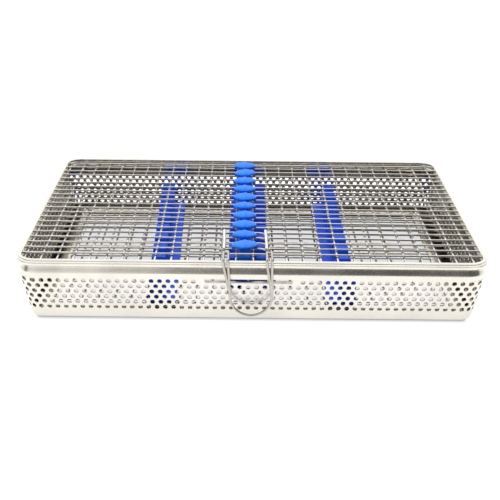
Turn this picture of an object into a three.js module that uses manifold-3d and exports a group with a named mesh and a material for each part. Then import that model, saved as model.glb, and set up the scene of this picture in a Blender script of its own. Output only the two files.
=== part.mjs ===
// Dental instrument cassette: a pressed tray with a wire mesh floor and toothed silicone racks, under a
// hinged wire mesh lid with a silicone hold-down strip and a sprung wire bail at the front.
// Millimetres, +Z up. The origin is the middle of the whole outline, on the surface the tray stands on.
// Front is -Y, where the bail hangs, and the lid's hinge is along +Y.
import * as THREE from 'three';
import { mergeVertices } from 'three/addons/utils/BufferGeometryUtils.js';
import Module from 'manifold-3d';

// Outline of tray and lid
const LENGTH = 204;
const DEPTH = 142;
const CORNER_RADIUS = 9;
const CORNER_STEPS = 6;
const LEAST_RADIUS = 1.5;

// Clearances and overlaps
const RUNNING_GAP = 0.3;
const WELD = 0.3;
const OVERRUN = 2;
const SNAP = 10000;

// Tray shell: a hollow bead at the rim, a shallow neck below it, and a wall that leans in to the foot
const SHEET = 0.8;
const RIM_TOP = 27.6;
const BEAD_HEIGHT = 2.2;
const BEAD_EDGE = 0.5;
const BEAD_OVERHANG = 1.2;
const NECK_DEPTH = 0.4;
const NECK_HEIGHT = 2.6;
const NECK_SLOPE = 0.6;
const WALL_DRAFT = 3;
const FOOT_RADIUS = 5;
const FOOT_STEPS = 4;
const FOOT_WIDTH = 1.4;
const FLOOR_LIP_HEIGHT = 3.8;

// Catch slot and its pressed ledge in the front wall
const SLOT_X = -1.6;
const SLOT_LENGTH = 37.8;
const SLOT_HEIGHT = 2.1;
const SLOT_Z = 21;
const LEDGE_THICKNESS = 0.6;
const LEDGE_REACH = 1;

// Punched openings: a grid in each side of the wall, kept clear of the catch slot
const OPENING_PITCH = 15.5;
const OPENING_WEB = 5.6;
const OPENING_ROWS = 3;
const OPENING_ROW_PITCH = 4.95;
const OPENING_TOP_Z = 18.6;
const OPENING_HEIGHT = 3.2;

// Wire mesh of lid and floor: cross wires run along Y, and long wires along X on top of them
const WIRE = 1.1;
const WIRE_SIDES = 6;
const LAYER_GAP = 0.1;

// Floor mesh
const FLOOR_PITCH_X = 7.28;
const FLOOR_PITCH_Y = 6.17;
const FLOOR_SELVAGE_WIDTH = 4;
const FLOOR_SELVAGE_THICKNESS = 1.3;
const FLOOR_SEAT = 0.4;

// Lid frame, a hem of folded sheet that is open towards the mesh
const FRAME_WIDTH = 3.4;
const FRAME_HEIGHT = 2.8;
const FRAME_SHEET = 0.7;
const FRAME_EDGE = 0.5;

// Lid mesh: its cross wires stand closer left of the latch than right of it
const LID_SELVAGE_THICKNESS = 0.8;
const LONG_PITCH = 6.17;
const LONG_FRONT_SETBACK = 11.1;
const LONG_BACK_SETBACK = 7.5;
const JOINT_WIRE_X = -7.15;
const CROSS_PITCH_LEFT = 6.96;
const CROSS_PITCH_RIGHT = 7.42;

// Hold-down strip under the lid mesh, with a lens shaped head over every second long wire
const HOLD_X = -3.5;
const HOLD_WIDTH = 6.4;
const HOLD_HEIGHT = 3.4;
const HEAD_LENGTH = 11.7;
const HEAD_DEPTH = 8.6;
const HEAD_HEIGHT = 2.6;
const HEAD_BEVEL = 0.5;
const HEAD_STEPS = 8;
const STEM_WIDTH = 4.6;
const STEM_THICKNESS = 1.8;

// Racks, each a toothed wall on a flange, held by plugs through the floor mesh
const RACK_FRONT_SETBACK = 9;
const CENTRE_FRONT_SETBACK = 34;
const RACK_BACK_SETBACK = 7.2;
const RACK_HEIGHT = 12.2;
const FLANGE_THICKNESS = 2;
const NOTCH_WIDTH = 8;
const NOTCH_FLOOR = 4.6;
const NOTCH_DEPTH = 5;
const SIDE_WALL = 6.7;
const SIDE_FLANGE = 5.5;
const CENTRE_RACKS_X = -1.6;
const CENTRE_RACKS_WIDTH = 18;
const CENTRE_WALL = 5.5;
const PLUG_WIDTH = 2.4;
const PLUG_HEAD = 5.2;
const PLUG_HEAD_HEIGHT = 1.8;
const SIDE_PLUG_REACH_SHARES = [-1, -1 / 2, 0, 1 / 2, 1];
const CENTRE_PLUG_REACH_SHARES = [-3 / 4, -1 / 4, 1 / 4, 3 / 4, 1];
const SIDE_PLUG_SHARE = 0.43;
const SIDE_PLUG_SETIN = 2.02;

// Hinges
const HINGE_END_SETBACK = 27.4;
const HINGE_SETBACK = 2;
const HINGE_Z = 28.2;
const PIN = 1.2;
const PIN_HEAD = 2.2;
const PIN_HEAD_LENGTH = 0.5;
const PIN_SIDES = 12;
const KNUCKLE = 3.2;
const KNUCKLE_SIDES = 20;
const LID_KNUCKLE_WIDTH = 4.4;
const TRAY_KNUCKLE_WIDTH = 1.9;
const STRAP = 0.7;
const STRAP_HEIGHT = 2.3;
const BRACKET_BOTTOM = 22;

// Latch bail of spring wire: one loop, and a second turn beside it that hooks under the foremost long
// wire of the lid and comes down into the loop. Two stays stiffen the mesh behind the hooks.
const BAIL_WIRE = 1.3;
const BAIL_SIDES = 8;
const BAIL_BEND = 1.3;
const LOOP_STEPS = 12;
const LOOP_X = -0.4;
const LOOP_WIDTH = 18;
const LOOP_BOTTOM = 5.5;
const LOOP_TOP_LEFT = -10.5;
const LOOP_TOP_RIGHT = 8.3;
const HOOK_LEFT = -12.6;
const HOOK_RIGHT = 6.1;
const HOOK_START_SHARE = 0.12;
const HOOK_END_SHARE = 0.74;
const HOOK_STEPS = 7;
const TURNS_MEET_Z = 17;
const STAY_WIRE = 1.4;
const STAY_LENGTH = 22.6;

// Sizes that follow from the ones above
const bandTop = RIM_TOP - BEAD_HEIGHT - NECK_HEIGHT;
const wallTop = bandTop - NECK_SLOPE;
const footInset = BEAD_OVERHANG + WALL_DRAFT;
const lipInset = footInset + FOOT_RADIUS + FOOT_WIDTH;
const floorCrossZ = FLOOR_LIP_HEIGHT - WELD + WIRE / 2;
const floorLongZ = floorCrossZ + WIRE + LAYER_GAP;
const floorInner = lipInset - SHEET - FLOOR_SEAT + FLOOR_SELVAGE_WIDTH;
const floorReachX = LENGTH / 2 - floorInner - WIRE;
const floorReachY = DEPTH / 2 - floorInner - WIRE;
const rackBase = floorLongZ + WIRE / 2 + RUNNING_GAP;
const sideRackFront = -DEPTH / 2 + RACK_FRONT_SETBACK;
const centreRackFront = -DEPTH / 2 + CENTRE_FRONT_SETBACK;
const rackBack = DEPTH / 2 - RACK_BACK_SETBACK;
const plugReach = Math.floor(floorReachY / FLOOR_PITCH_Y) - 1;
const sidePlugX = Math.round(SIDE_PLUG_SHARE * LENGTH / 2 / FLOOR_PITCH_X) * FLOOR_PITCH_X;
const sideRackEdge = sidePlugX + SIDE_PLUG_SETIN;
const frameBottom = RIM_TOP + RUNNING_GAP;
const frameTop = frameBottom + FRAME_HEIGHT;
const lidCrossZ = frameBottom + RUNNING_GAP + WIRE / 2;
const lidLongZ = lidCrossZ + WIRE + LAYER_GAP;
const lidWireTop = lidLongZ + WIRE / 2;
const longSpan = DEPTH - LONG_FRONT_SETBACK - LONG_BACK_SETBACK;
const longSteps = Math.round(longSpan / LONG_PITCH);
const heads = Math.floor(longSteps / 2);
const bailZ = frameTop + RUNNING_GAP + BAIL_WIRE / 2;
const bailY = -DEPTH / 2 - RUNNING_GAP - BAIL_WIRE / 2;
const pivotY = lidLongY(longSteps);
const hookRadius = WIRE / 2 + RUNNING_GAP + BAIL_WIRE / 2;
const turnStartY = pivotY - 2 * BAIL_WIRE;
const hingeY = DEPTH / 2 + HINGE_SETBACK;
const outlineShift = (bailY - BAIL_WIRE / 2 + hingeY + KNUCKLE / 2) / 2;

const wasm = await Module();
wasm.setup();

const steel = { color: 0xd9d8d2, roughness: 0.28, metalness: 1 };
const brightSteel = { color: 0xe4e3dc, roughness: 0.2, metalness: 1 };
const silicone = { color: 0x1b4fe0, roughness: 0.5, metalness: 0 };

const cassette = new THREE.Group();
const tray = new THREE.Group();
const lid = new THREE.Group();
cassette.add(tray, lid);

function addPiece(group, name, solid, finish) {
  const geometry = toGeometry(solid);
  geometry.translate(0, -outlineShift, 0);
  const mesh = new THREE.Mesh(geometry, new THREE.MeshStandardMaterial(finish));
  mesh.name = name;
  group.add(mesh);
}

function toSolid(geometry) {
  geometry.deleteAttribute('normal');
  geometry.deleteAttribute('uv');
  const merged = mergeVertices(geometry);
  // Faces that lie in one plane have to match exactly before pieces are joined
  const snapped = merged.attributes.position.array.map((value) => Math.round(value * SNAP) / SNAP);
  return new wasm.Manifold(new wasm.Mesh({
    numProp: 3,
    vertProperties: new Float32Array(snapped),
    triVerts: new Uint32Array(merged.index.array),
  }));
}

function toGeometry(solid) {
  const mesh = solid.getMesh();
  const geometry = new THREE.BufferGeometry();
  geometry.setAttribute('position', new THREE.BufferAttribute(mesh.vertProperties, 3));
  geometry.setIndex(new THREE.BufferAttribute(mesh.triVerts, 1));
  geometry.computeVertexNormals();
  return geometry;
}

function indexedSolid(positions, index) {
  const geometry = new THREE.BufferGeometry();
  geometry.setAttribute('position', new THREE.Float32BufferAttribute(positions, 3));
  geometry.setIndex(index);
  return toSolid(geometry);
}

function joinAll(solids) {
  return solids.reduce((whole, solid) => whole.add(solid));
}

function block(low, high) {
  const size = high.map((value, axis) => value - low[axis]);
  const geometry = new THREE.BoxGeometry(...size);
  geometry.translate(...low.map((value, axis) => value + size[axis] / 2));
  return toSolid(geometry);
}

// A round bar along X or Y with its middle at a point
function bar(axis, diameter, length, sides, centre) {
  const geometry = new THREE.CylinderGeometry(diameter / 2, diameter / 2, length, sides);
  if (axis === 'x') geometry.rotateZ(Math.PI / 2);
  geometry.translate(...centre);
  return toSolid(geometry);
}

// The points of the rounded outline at an inset, counterclockwise from +X. The corner radius shrinks
// with the inset, and never below the least radius.
function outlineAt(inset) {
  const radius = Math.max(CORNER_RADIUS - inset, LEAST_RADIUS);
  const points = [];
  for (let corner = 0; corner < 4; corner += 1) {
    const signX = corner === 0 || corner === 3 ? 1 : -1;
    const signY = corner < 2 ? 1 : -1;
    for (let step = 0; step <= CORNER_STEPS; step += 1) {
      const angle = (corner + step / CORNER_STEPS) * Math.PI / 2;
      points.push(new THREE.Vector2(
        signX * (LENGTH / 2 - inset - radius) + radius * Math.cos(angle),
        signY * (DEPTH / 2 - inset - radius) + radius * Math.sin(angle),
      ));
    }
  }
  return points;
}

// A closed profile of [inset, height] points, counterclockwise, carried round the outline
function carryRound(profile) {
  const outlines = profile.map(([inset]) => outlineAt(inset));
  const rings = outlines[0].length;
  const count = profile.length;
  const positions = [];
  const index = [];
  for (let ring = 0; ring < rings; ring += 1) {
    const next = (ring + 1) % rings;
    for (let point = 0; point < count; point += 1) {
      const after = (point + 1) % count;
      const here = outlines[point][ring];
      positions.push(here.x, here.y, profile[point][1]);
      const a = ring * count + point;
      const b = next * count + point;
      const c = next * count + after;
      const d = ring * count + after;
      index.push(a, c, b, a, d, c);
    }
  }
  return indexedSolid(positions, index);
}

// The full area inside the outline at an inset, between two heights
function slabInside(inset, bottom, top) {
  const shape = new THREE.Shape(outlineAt(inset));
  const geometry = new THREE.ExtrudeGeometry(shape, { depth: top - bottom, bevelEnabled: false });
  geometry.translate(0, 0, bottom);
  return toSolid(geometry);
}

// A round wire through a list of points
function wireAlong(points, diameter, sides) {
  const last = points.length - 1;
  const steps = points.slice(1).map((point, i) => point.clone().sub(points[i]).normalize());
  const positions = [];
  const index = [];
  let across = new THREE.Vector3(1, 0, 0);
  points.forEach((point, i) => {
    const tangent = steps[Math.max(i - 1, 0)].clone().add(steps[Math.min(i, last - 1)]).normalize();
    across = across.clone().addScaledVector(tangent, -across.dot(tangent)).normalize();
    const up = tangent.clone().cross(across);
    for (let side = 0; side < sides; side += 1) {
      const angle = side * 2 * Math.PI / sides;
      const corner = point.clone()
        .addScaledVector(across, diameter / 2 * Math.cos(angle))
        .addScaledVector(up, diameter / 2 * Math.sin(angle));
      positions.push(corner.x, corner.y, corner.z);
    }
  });
  for (let side = 0; side < sides; side += 1) {
    const next = (side + 1) % sides;
    for (let i = 0; i < last; i += 1) {
      const a = i * sides + side;
      const b = i * sides + next;
      index.push(a, b, b + sides, a, b + sides, a + sides);
    }
    if (side > 1) {
      index.push(0, side, side - 1);
      index.push(last * sides, last * sides + side - 1, last * sides + side);
    }
  }
  return indexedSolid(positions, index);
}

// Inset of the wall's outer face at a height between the foot and the neck
function wallInset(height) {
  return BEAD_OVERHANG + WALL_DRAFT * (wallTop - height) / (wallTop - FOOT_RADIUS);
}

function makeTray() {
  const neck = BEAD_OVERHANG + NECK_DEPTH;
  const beadBottom = RIM_TOP - BEAD_HEIGHT;
  const outside = [
    [BEAD_EDGE, RIM_TOP],
    [0, RIM_TOP - BEAD_EDGE],
    [0, beadBottom + BEAD_EDGE],
    [BEAD_EDGE, beadBottom],
    [neck, beadBottom],
    [neck, bandTop],
    [BEAD_OVERHANG, wallTop],
    [footInset, FOOT_RADIUS],
  ];
  const inside = [
    [footInset + SHEET, FOOT_RADIUS],
    [BEAD_OVERHANG + SHEET, wallTop],
    [neck + SHEET, bandTop],
    [neck + SHEET, RIM_TOP - BEAD_EDGE],
    [neck + SHEET - BEAD_EDGE, RIM_TOP],
  ];
  const insideRadius = FOOT_RADIUS - SHEET;
  const outsideFoot = [];
  const insideFoot = [];
  for (let step = 1; step <= FOOT_STEPS; step += 1) {
    const angle = step / FOOT_STEPS * Math.PI / 2;
    const across = 1 - Math.cos(angle);
    const down = 1 - Math.sin(angle);
    outsideFoot.push([footInset + FOOT_RADIUS * across, FOOT_RADIUS * down]);
    insideFoot.unshift([footInset + SHEET + insideRadius * across, SHEET + insideRadius * down]);
  }
  const lip = [
    [lipInset, 0],
    [lipInset, FLOOR_LIP_HEIGHT],
    [lipInset - SHEET, FLOOR_LIP_HEIGHT],
    [lipInset - SHEET, SHEET],
  ];
  const shell = carryRound([...outside, ...outsideFoot, ...lip, ...insideFoot, ...inside]);
  const ledgeTop = SLOT_Z - SLOT_HEIGHT / 2;
  const face = -DEPTH / 2 + wallInset(ledgeTop);
  const left = SLOT_X - SLOT_LENGTH / 2;
  const right = SLOT_X + SLOT_LENGTH / 2;
  const ledgeLow = [left, face - LEDGE_REACH, ledgeTop - LEDGE_THICKNESS];
  const ledge = block(ledgeLow, [right, face + SHEET / 2, ledgeTop]);
  const slot = block([left, -DEPTH / 2, ledgeTop], [right, face + OVERRUN, ledgeTop + SLOT_HEIGHT]);
  const pierced = makeOpenings().reduce((whole, opening) => whole.subtract(opening), shell);
  return pierced.subtract(slot).add(ledge);
}

// The middles of the openings in one row, evenly spread over the straight stretch of a side
function openingMiddles(side) {
  const count = Math.floor((side - 2 * CORNER_RADIUS) / OPENING_PITCH);
  return Array.from({ length: count }, (unused, i) => (i - (count - 1) / 2) * OPENING_PITCH);
}

// Blocks that cut the openings of all four sides
function makeOpenings() {
  const half = (OPENING_PITCH - OPENING_WEB) / 2;
  const depth = footInset + SHEET + OVERRUN;
  const slotReach = SLOT_LENGTH / 2 + OPENING_WEB;
  const cuts = [];
  for (let row = 0; row < OPENING_ROWS; row += 1) {
    const bottom = OPENING_TOP_Z - row * OPENING_ROW_PITCH - OPENING_HEIGHT / 2;
    const top = bottom + OPENING_HEIGHT;
    for (const x of openingMiddles(LENGTH)) {
      const besideSlot = Math.abs(x - SLOT_X) - half > slotReach || top < SLOT_Z - SLOT_HEIGHT;
      if (besideSlot) cuts.push(block([x - half, -DEPTH / 2, bottom], [x + half, depth - DEPTH / 2, top]));
      cuts.push(block([x - half, DEPTH / 2 - depth, bottom], [x + half, DEPTH / 2, top]));
    }
    for (const y of openingMiddles(DEPTH)) {
      cuts.push(block([-LENGTH / 2, y - half, bottom], [depth - LENGTH / 2, y + half, top]));
      cuts.push(block([LENGTH / 2 - depth, y - half, bottom], [LENGTH / 2, y + half, top]));
    }
  }
  return cuts;
}

// Two layers of wires whose ends are welded to a flat selvage ring
function makeMesh(selvage, crossWires, crossZ, longWires, longZ) {
  const { outer, inner, bottom, top } = selvage;
  const ring = carryRound([[outer, bottom], [inner, bottom], [inner, top], [outer, top]]);
  const across = crossWires.map((x) => bar('y', WIRE, DEPTH, WIRE_SIDES, [x, 0, crossZ]));
  const along = longWires.map((y) => bar('x', WIRE, LENGTH, WIRE_SIDES, [0, y, longZ]));
  const reach = slabInside(inner - WELD, crossZ - WIRE, longZ + WIRE);
  return joinAll([...across, ...along]).intersect(reach).add(ring);
}

function makeFloorMesh() {
  const outer = lipInset - SHEET - FLOOR_SEAT;
  const bottom = FLOOR_LIP_HEIGHT;
  const selvage = { outer, inner: floorInner, bottom, top: bottom + FLOOR_SELVAGE_THICKNESS };
  const crossWires = [];
  const longWires = [0];
  for (let x = FLOOR_PITCH_X / 2; x < floorReachX; x += FLOOR_PITCH_X) crossWires.push(-x, x);
  for (let y = FLOOR_PITCH_Y; y < floorReachY; y += FLOOR_PITCH_Y) longWires.push(-y, y);
  return makeMesh(selvage, crossWires, floorCrossZ, longWires, floorLongZ);
}

// Y of a long wire of the lid, counted from the hinge side
function lidLongY(number) {
  return DEPTH / 2 - LONG_BACK_SETBACK - number * longSpan / longSteps;
}

function makeStay(x) {
  const front = pivotY + 2 * hookRadius;
  const z = lidWireTop - WELD + STAY_WIRE / 2;
  return bar('y', STAY_WIRE, STAY_LENGTH, BAIL_SIDES, [x, front + STAY_LENGTH / 2, z]);
}

function makeLidMesh() {
  const middle = (lidCrossZ + lidLongZ) / 2;
  const selvage = {
    outer: FRAME_SHEET + RUNNING_GAP,
    inner: FRAME_WIDTH + RUNNING_GAP + 2 * WELD,
    bottom: middle - LID_SELVAGE_THICKNESS / 2,
    top: middle + LID_SELVAGE_THICKNESS / 2,
  };
  const crossWires = [];
  const reach = LENGTH / 2 - FRAME_WIDTH;
  for (let x = JOINT_WIRE_X; x > -reach; x -= CROSS_PITCH_LEFT) crossWires.push(x);
  for (let x = JOINT_WIRE_X + CROSS_PITCH_RIGHT; x < reach; x += CROSS_PITCH_RIGHT) crossWires.push(x);
  const longWires = Array.from({ length: longSteps + 1 }, (unused, number) => lidLongY(number));
  const mesh = makeMesh(selvage, crossWires, lidCrossZ, longWires, lidLongZ);
  return mesh.add(makeStay(HOOK_LEFT)).add(makeStay(HOOK_RIGHT));
}

function makeLidFrame() {
  return carryRound([
    [FRAME_EDGE, frameTop],
    [0, frameTop - FRAME_EDGE],
    [0, frameBottom + FRAME_EDGE],
    [FRAME_EDGE, frameBottom],
    [FRAME_WIDTH, frameBottom],
    [FRAME_WIDTH, frameBottom + FRAME_SHEET],
    [FRAME_SHEET, frameBottom + FRAME_SHEET],
    [FRAME_SHEET, frameTop - FRAME_SHEET],
    [FRAME_WIDTH, frameTop - FRAME_SHEET],
    [FRAME_WIDTH, frameTop],
  ]);
}

// A lens shaped head that comes to a point at both ends, with a flat underside
function makeHead(y, bottom) {
  const profile = [];
  for (let step = 0; step <= HEAD_STEPS; step += 1) {
    const along = 2 * step / HEAD_STEPS - 1;
    profile.push(new THREE.Vector2(1 - along * along, along));
  }
  const geometry = new THREE.LatheGeometry(profile, 2 * HEAD_STEPS);
  geometry.rotateZ(-Math.PI / 2);
  geometry.scale(HEAD_LENGTH / 2, HEAD_DEPTH / 2, HEAD_HEIGHT - HEAD_BEVEL);
  geometry.translate(HOLD_X, y, bottom + HEAD_BEVEL);
  const low = [HOLD_X - HEAD_LENGTH, y - HEAD_DEPTH, bottom];
  const high = [HOLD_X + HEAD_LENGTH, y + HEAD_DEPTH, bottom + HEAD_LENGTH];
  return toSolid(geometry).intersect(block(low, high));
}

function makeHoldDown() {
  const top = lidCrossZ - WIRE / 2 - RUNNING_GAP;
  const headBottom = lidWireTop + RUNNING_GAP;
  const clear = WIRE / 2 + RUNNING_GAP;
  const front = lidLongY(2 * heads - 1) - clear - STEM_THICKNESS;
  const back = lidLongY(0) - RUNNING_GAP;
  const left = HOLD_X - HOLD_WIDTH / 2;
  const pieces = [block([left, front, top - HOLD_HEIGHT], [left + HOLD_WIDTH, back, top])];
  for (let i = 0; i < heads; i += 1) {
    const y = lidLongY(2 * i + 1);
    for (const near of [y - clear - STEM_THICKNESS, y + clear]) {
      const low = [HOLD_X - STEM_WIDTH / 2, near, top - WELD];
      const high = [HOLD_X + STEM_WIDTH / 2, near + STEM_THICKNESS, headBottom + WELD];
      pieces.push(block(low, high));
    }
    pieces.push(makeHead(y, headBottom));
  }
  return joinAll(pieces);
}

// A rack wall with a notch in its top edge under each head of the hold-down strip that it reaches
function makeToothedWall(left, width, front) {
  const top = rackBase + RACK_HEIGHT;
  const middles = Array.from({ length: heads }, (unused, i) => lidLongY(2 * (heads - i) - 1));
  const shape = new THREE.Shape();
  shape.moveTo(front, rackBase);
  shape.lineTo(front, top);
  for (const middle of middles.filter((y) => y - NOTCH_WIDTH / 2 > front)) {
    shape.lineTo(middle - NOTCH_WIDTH / 2, top);
    shape.lineTo(middle - NOTCH_FLOOR / 2, top - NOTCH_DEPTH);
    shape.lineTo(middle + NOTCH_FLOOR / 2, top - NOTCH_DEPTH);
    shape.lineTo(middle + NOTCH_WIDTH / 2, top);
  }
  shape.lineTo(rackBack, top);
  shape.lineTo(rackBack, rackBase);
  shape.closePath();
  const geometry = new THREE.ExtrudeGeometry(shape, { depth: width, bevelEnabled: false });
  geometry.rotateX(Math.PI / 2);
  geometry.rotateZ(Math.PI / 2);
  geometry.translate(left, 0, 0);
  return toSolid(geometry);
}

// A plug through one cell of the floor mesh, with a button that holds it from below
function makePlug(x, cell) {
  const y = (cell + 1 / 2) * FLOOR_PITCH_Y;
  const buttonTop = floorCrossZ - WIRE / 2 - RUNNING_GAP;
  const stem = PLUG_WIDTH / 2;
  const button = PLUG_HEAD / 2;
  const buttonLow = [x - button, y - button, buttonTop - PLUG_HEAD_HEIGHT];
  return joinAll([
    block([x - stem, y - stem, buttonTop - WELD], [x + stem, y + stem, rackBase + WELD]),
    block(buttonLow, [x + button, y + button, buttonTop]),
  ]);
}

function makeRack(left, width, wallLeft, wallWidth, front, plugX, plugShares) {
  const flange = block([left, front, rackBase], [left + width, rackBack, rackBase + FLANGE_THICKNESS]);
  const plugs = plugShares.map((share) => makePlug(plugX, Math.round(share * plugReach)));
  return joinAll([flange, makeToothedWall(wallLeft, wallWidth, front), ...plugs]);
}

function makeRacks() {
  const width = SIDE_WALL + SIDE_FLANGE;
  const wallLeft = sideRackEdge - SIDE_WALL;
  const makeSideRack = (low, wallLow, plugX) => (
    makeRack(low, width, wallLow, SIDE_WALL, sideRackFront, plugX, SIDE_PLUG_REACH_SHARES)
  );
  const leftRack = makeSideRack(-sideRackEdge, -sideRackEdge, -sidePlugX);
  const rightRack = makeSideRack(sideRackEdge - width, wallLeft, sidePlugX);
  addPiece(tray, 'left_rack', leftRack, silicone);
  addPiece(tray, 'right_rack', rightRack, silicone);

  const left = CENTRE_RACKS_X - CENTRE_RACKS_WIDTH / 2;
  const right = CENTRE_RACKS_X + CENTRE_RACKS_WIDTH / 2;
  const half = (CENTRE_RACKS_WIDTH - RUNNING_GAP) / 2;
  const rightPlug = right - RUNNING_GAP - PLUG_WIDTH / 2;
  const leftPlug = -FLOOR_PITCH_X;
  const rightLow = right - half;
  const rightWall = right - CENTRE_WALL;
  const shares = CENTRE_PLUG_REACH_SHARES;
  const centreLeft = makeRack(left, half, left, CENTRE_WALL, centreRackFront, leftPlug, shares);
  const centreRight = makeRack(rightLow, half, rightWall, CENTRE_WALL, centreRackFront, rightPlug, shares);
  addPiece(tray, 'centre_rack_left', centreLeft, silicone);
  addPiece(tray, 'centre_rack_right', centreRight, silicone);
}

// A curled strap end round the hinge pin
function makeKnuckle(x, width) {
  const bore = PIN + 2 * RUNNING_GAP;
  const tube = bar('x', KNUCKLE, width, KNUCKLE_SIDES, [x, hingeY, HINGE_Z]);
  return tube.subtract(bar('x', bore, width + OVERRUN, KNUCKLE_SIDES, [x, hingeY, HINGE_Z]));
}

function makeHinge(side, name) {
  const x = side * (LENGTH / 2 - HINGE_END_SETBACK);
  const face = DEPTH / 2;
  const lidHalf = LID_KNUCKLE_WIDTH / 2;
  const earMiddle = lidHalf + RUNNING_GAP + TRAY_KNUCKLE_WIDTH / 2;
  const earEnd = earMiddle + TRAY_KNUCKLE_WIDTH / 2;
  const strapLow = [x - lidHalf, face, frameBottom];
  const strap = block(strapLow, [x + lidHalf, face + STRAP, frameBottom + STRAP_HEIGHT]);
  addPiece(lid, `hinge_leaf_${name}`, makeKnuckle(x, LID_KNUCKLE_WIDTH).add(strap), steel);

  const plateTop = HINGE_Z - KNUCKLE / 2 - RUNNING_GAP;
  const pieces = [block([x - earEnd, face, BRACKET_BOTTOM], [x + earEnd, face + STRAP, plateTop])];
  for (const end of [-1, 1]) {
    const middle = x + end * earMiddle;
    const low = middle - TRAY_KNUCKLE_WIDTH / 2;
    pieces.push(makeKnuckle(middle, TRAY_KNUCKLE_WIDTH));
    pieces.push(block([low, face, BRACKET_BOTTOM], [low + TRAY_KNUCKLE_WIDTH, face + STRAP, HINGE_Z]));
  }
  addPiece(tray, `hinge_bracket_${name}`, joinAll(pieces), steel);

  const shank = 2 * (earEnd + RUNNING_GAP) + PIN_HEAD_LENGTH;
  const pin = [bar('x', PIN, shank, PIN_SIDES, [x, hingeY, HINGE_Z])];
  for (const end of [-1, 1]) {
    const middle = x + end * (earEnd + RUNNING_GAP + PIN_HEAD_LENGTH / 2);
    pin.push(bar('x', PIN_HEAD, PIN_HEAD_LENGTH, PIN_SIDES, [middle, hingeY, HINGE_Z]));
  }
  addPiece(tray, `hinge_pin_${name}`, joinAll(pin), brightSteel);
}

// One strand from behind the lid frame, over it, and round the bend to hang in front of the tray
function overFrame(x) {
  const points = [new THREE.Vector3(x, turnStartY, bailZ)];
  for (const share of [0, 1 / 2, 1]) {
    const angle = share * Math.PI / 2;
    const y = bailY + BAIL_BEND * (1 - Math.sin(angle));
    points.push(new THREE.Vector3(x, y, bailZ - BAIL_BEND * (1 - Math.cos(angle))));
  }
  return points;
}

function makeLoop() {
  const radius = LOOP_WIDTH / 2;
  const points = overFrame(LOOP_TOP_LEFT);
  for (let step = 0; step <= LOOP_STEPS; step += 1) {
    const angle = Math.PI * step / LOOP_STEPS;
    const z = LOOP_BOTTOM + radius * (1 - Math.sin(angle));
    points.push(new THREE.Vector3(LOOP_X - radius * Math.cos(angle), bailY, z));
  }
  points.push(...overFrame(LOOP_TOP_RIGHT).reverse());
  return wireAlong(points, BAIL_WIRE, BAIL_SIDES);
}

function makeSecondTurn(x, loopTopX, loopSideX) {
  const points = [];
  for (let step = 0; step <= HOOK_STEPS; step += 1) {
    const share = HOOK_START_SHARE + (HOOK_END_SHARE - HOOK_START_SHARE) * step / HOOK_STEPS;
    const y = pivotY + hookRadius * Math.sin(2 * Math.PI * share);
    points.push(new THREE.Vector3(x, y, lidLongZ + hookRadius * Math.cos(2 * Math.PI * share)));
  }
  const bend = overFrame(x);
  const loopSideZ = LOOP_BOTTOM + LOOP_WIDTH / 2;
  const share = (TURNS_MEET_Z - loopSideZ) / (bailZ - BAIL_BEND - loopSideZ);
  const meetX = loopSideX + (loopTopX - loopSideX) * share;
  points.push(...bend, new THREE.Vector3(meetX, bailY, TURNS_MEET_Z));
  const turn = wireAlong(points, BAIL_WIRE, BAIL_SIDES);
  const bridge = [(x + loopTopX) / 2, turnStartY - BAIL_WIRE / 2, bailZ];
  return turn.add(bar('x', BAIL_WIRE, loopTopX - x, BAIL_SIDES, bridge));
}

function makeBail() {
  const side = LOOP_WIDTH / 2;
  return joinAll([
    makeLoop(),
    makeSecondTurn(HOOK_LEFT, LOOP_TOP_LEFT, LOOP_X - side),
    makeSecondTurn(HOOK_RIGHT, LOOP_TOP_RIGHT, LOOP_X + side),
  ]);
}

addPiece(tray, 'tray_shell', makeTray(), steel);
addPiece(tray, 'floor_mesh', makeFloorMesh(), brightSteel);
makeRacks();
makeHinge(-1, 'left');
makeHinge(1, 'right');
addPiece(lid, 'lid_frame', makeLidFrame(), steel);
addPiece(lid, 'lid_mesh', makeLidMesh(), brightSteel);
addPiece(lid, 'hold_down_strip', makeHoldDown(), silicone);
addPiece(lid, 'latch_bail', makeBail(), brightSteel);

export default cassette;
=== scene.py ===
"""Dental instrument cassette in steel and blue silicone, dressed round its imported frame.

A perforated tray with a wire floor and toothed racks stands under a hinged wire lid, which carries a
row of lens shaped silicone heads and a sprung wire bail. Shapes are worked out in millimetres about
the middle of the tray's foot, and set into the frame when their mesh is made.
"""

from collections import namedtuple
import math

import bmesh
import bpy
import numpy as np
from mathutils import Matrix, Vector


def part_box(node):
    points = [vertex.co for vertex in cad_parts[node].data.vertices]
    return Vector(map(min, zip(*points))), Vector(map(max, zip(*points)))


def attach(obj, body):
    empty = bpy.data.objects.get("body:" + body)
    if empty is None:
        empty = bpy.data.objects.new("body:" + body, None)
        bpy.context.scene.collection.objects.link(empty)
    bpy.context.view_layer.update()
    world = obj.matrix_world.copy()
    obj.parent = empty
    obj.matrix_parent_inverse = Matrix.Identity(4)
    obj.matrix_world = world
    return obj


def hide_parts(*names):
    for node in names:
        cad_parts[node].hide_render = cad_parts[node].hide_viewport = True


bl_info = {
    "name": "Dental instrument cassette",
    "version": (1, 0, 0),
    "blender": (4, 5, 0),
    "location": "View3D > Sidebar > Cassette",
    "description": "Builds the cassette's perforated tray, wire meshes, racks, hinges and latch",
    "category": "Object",
}

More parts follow.
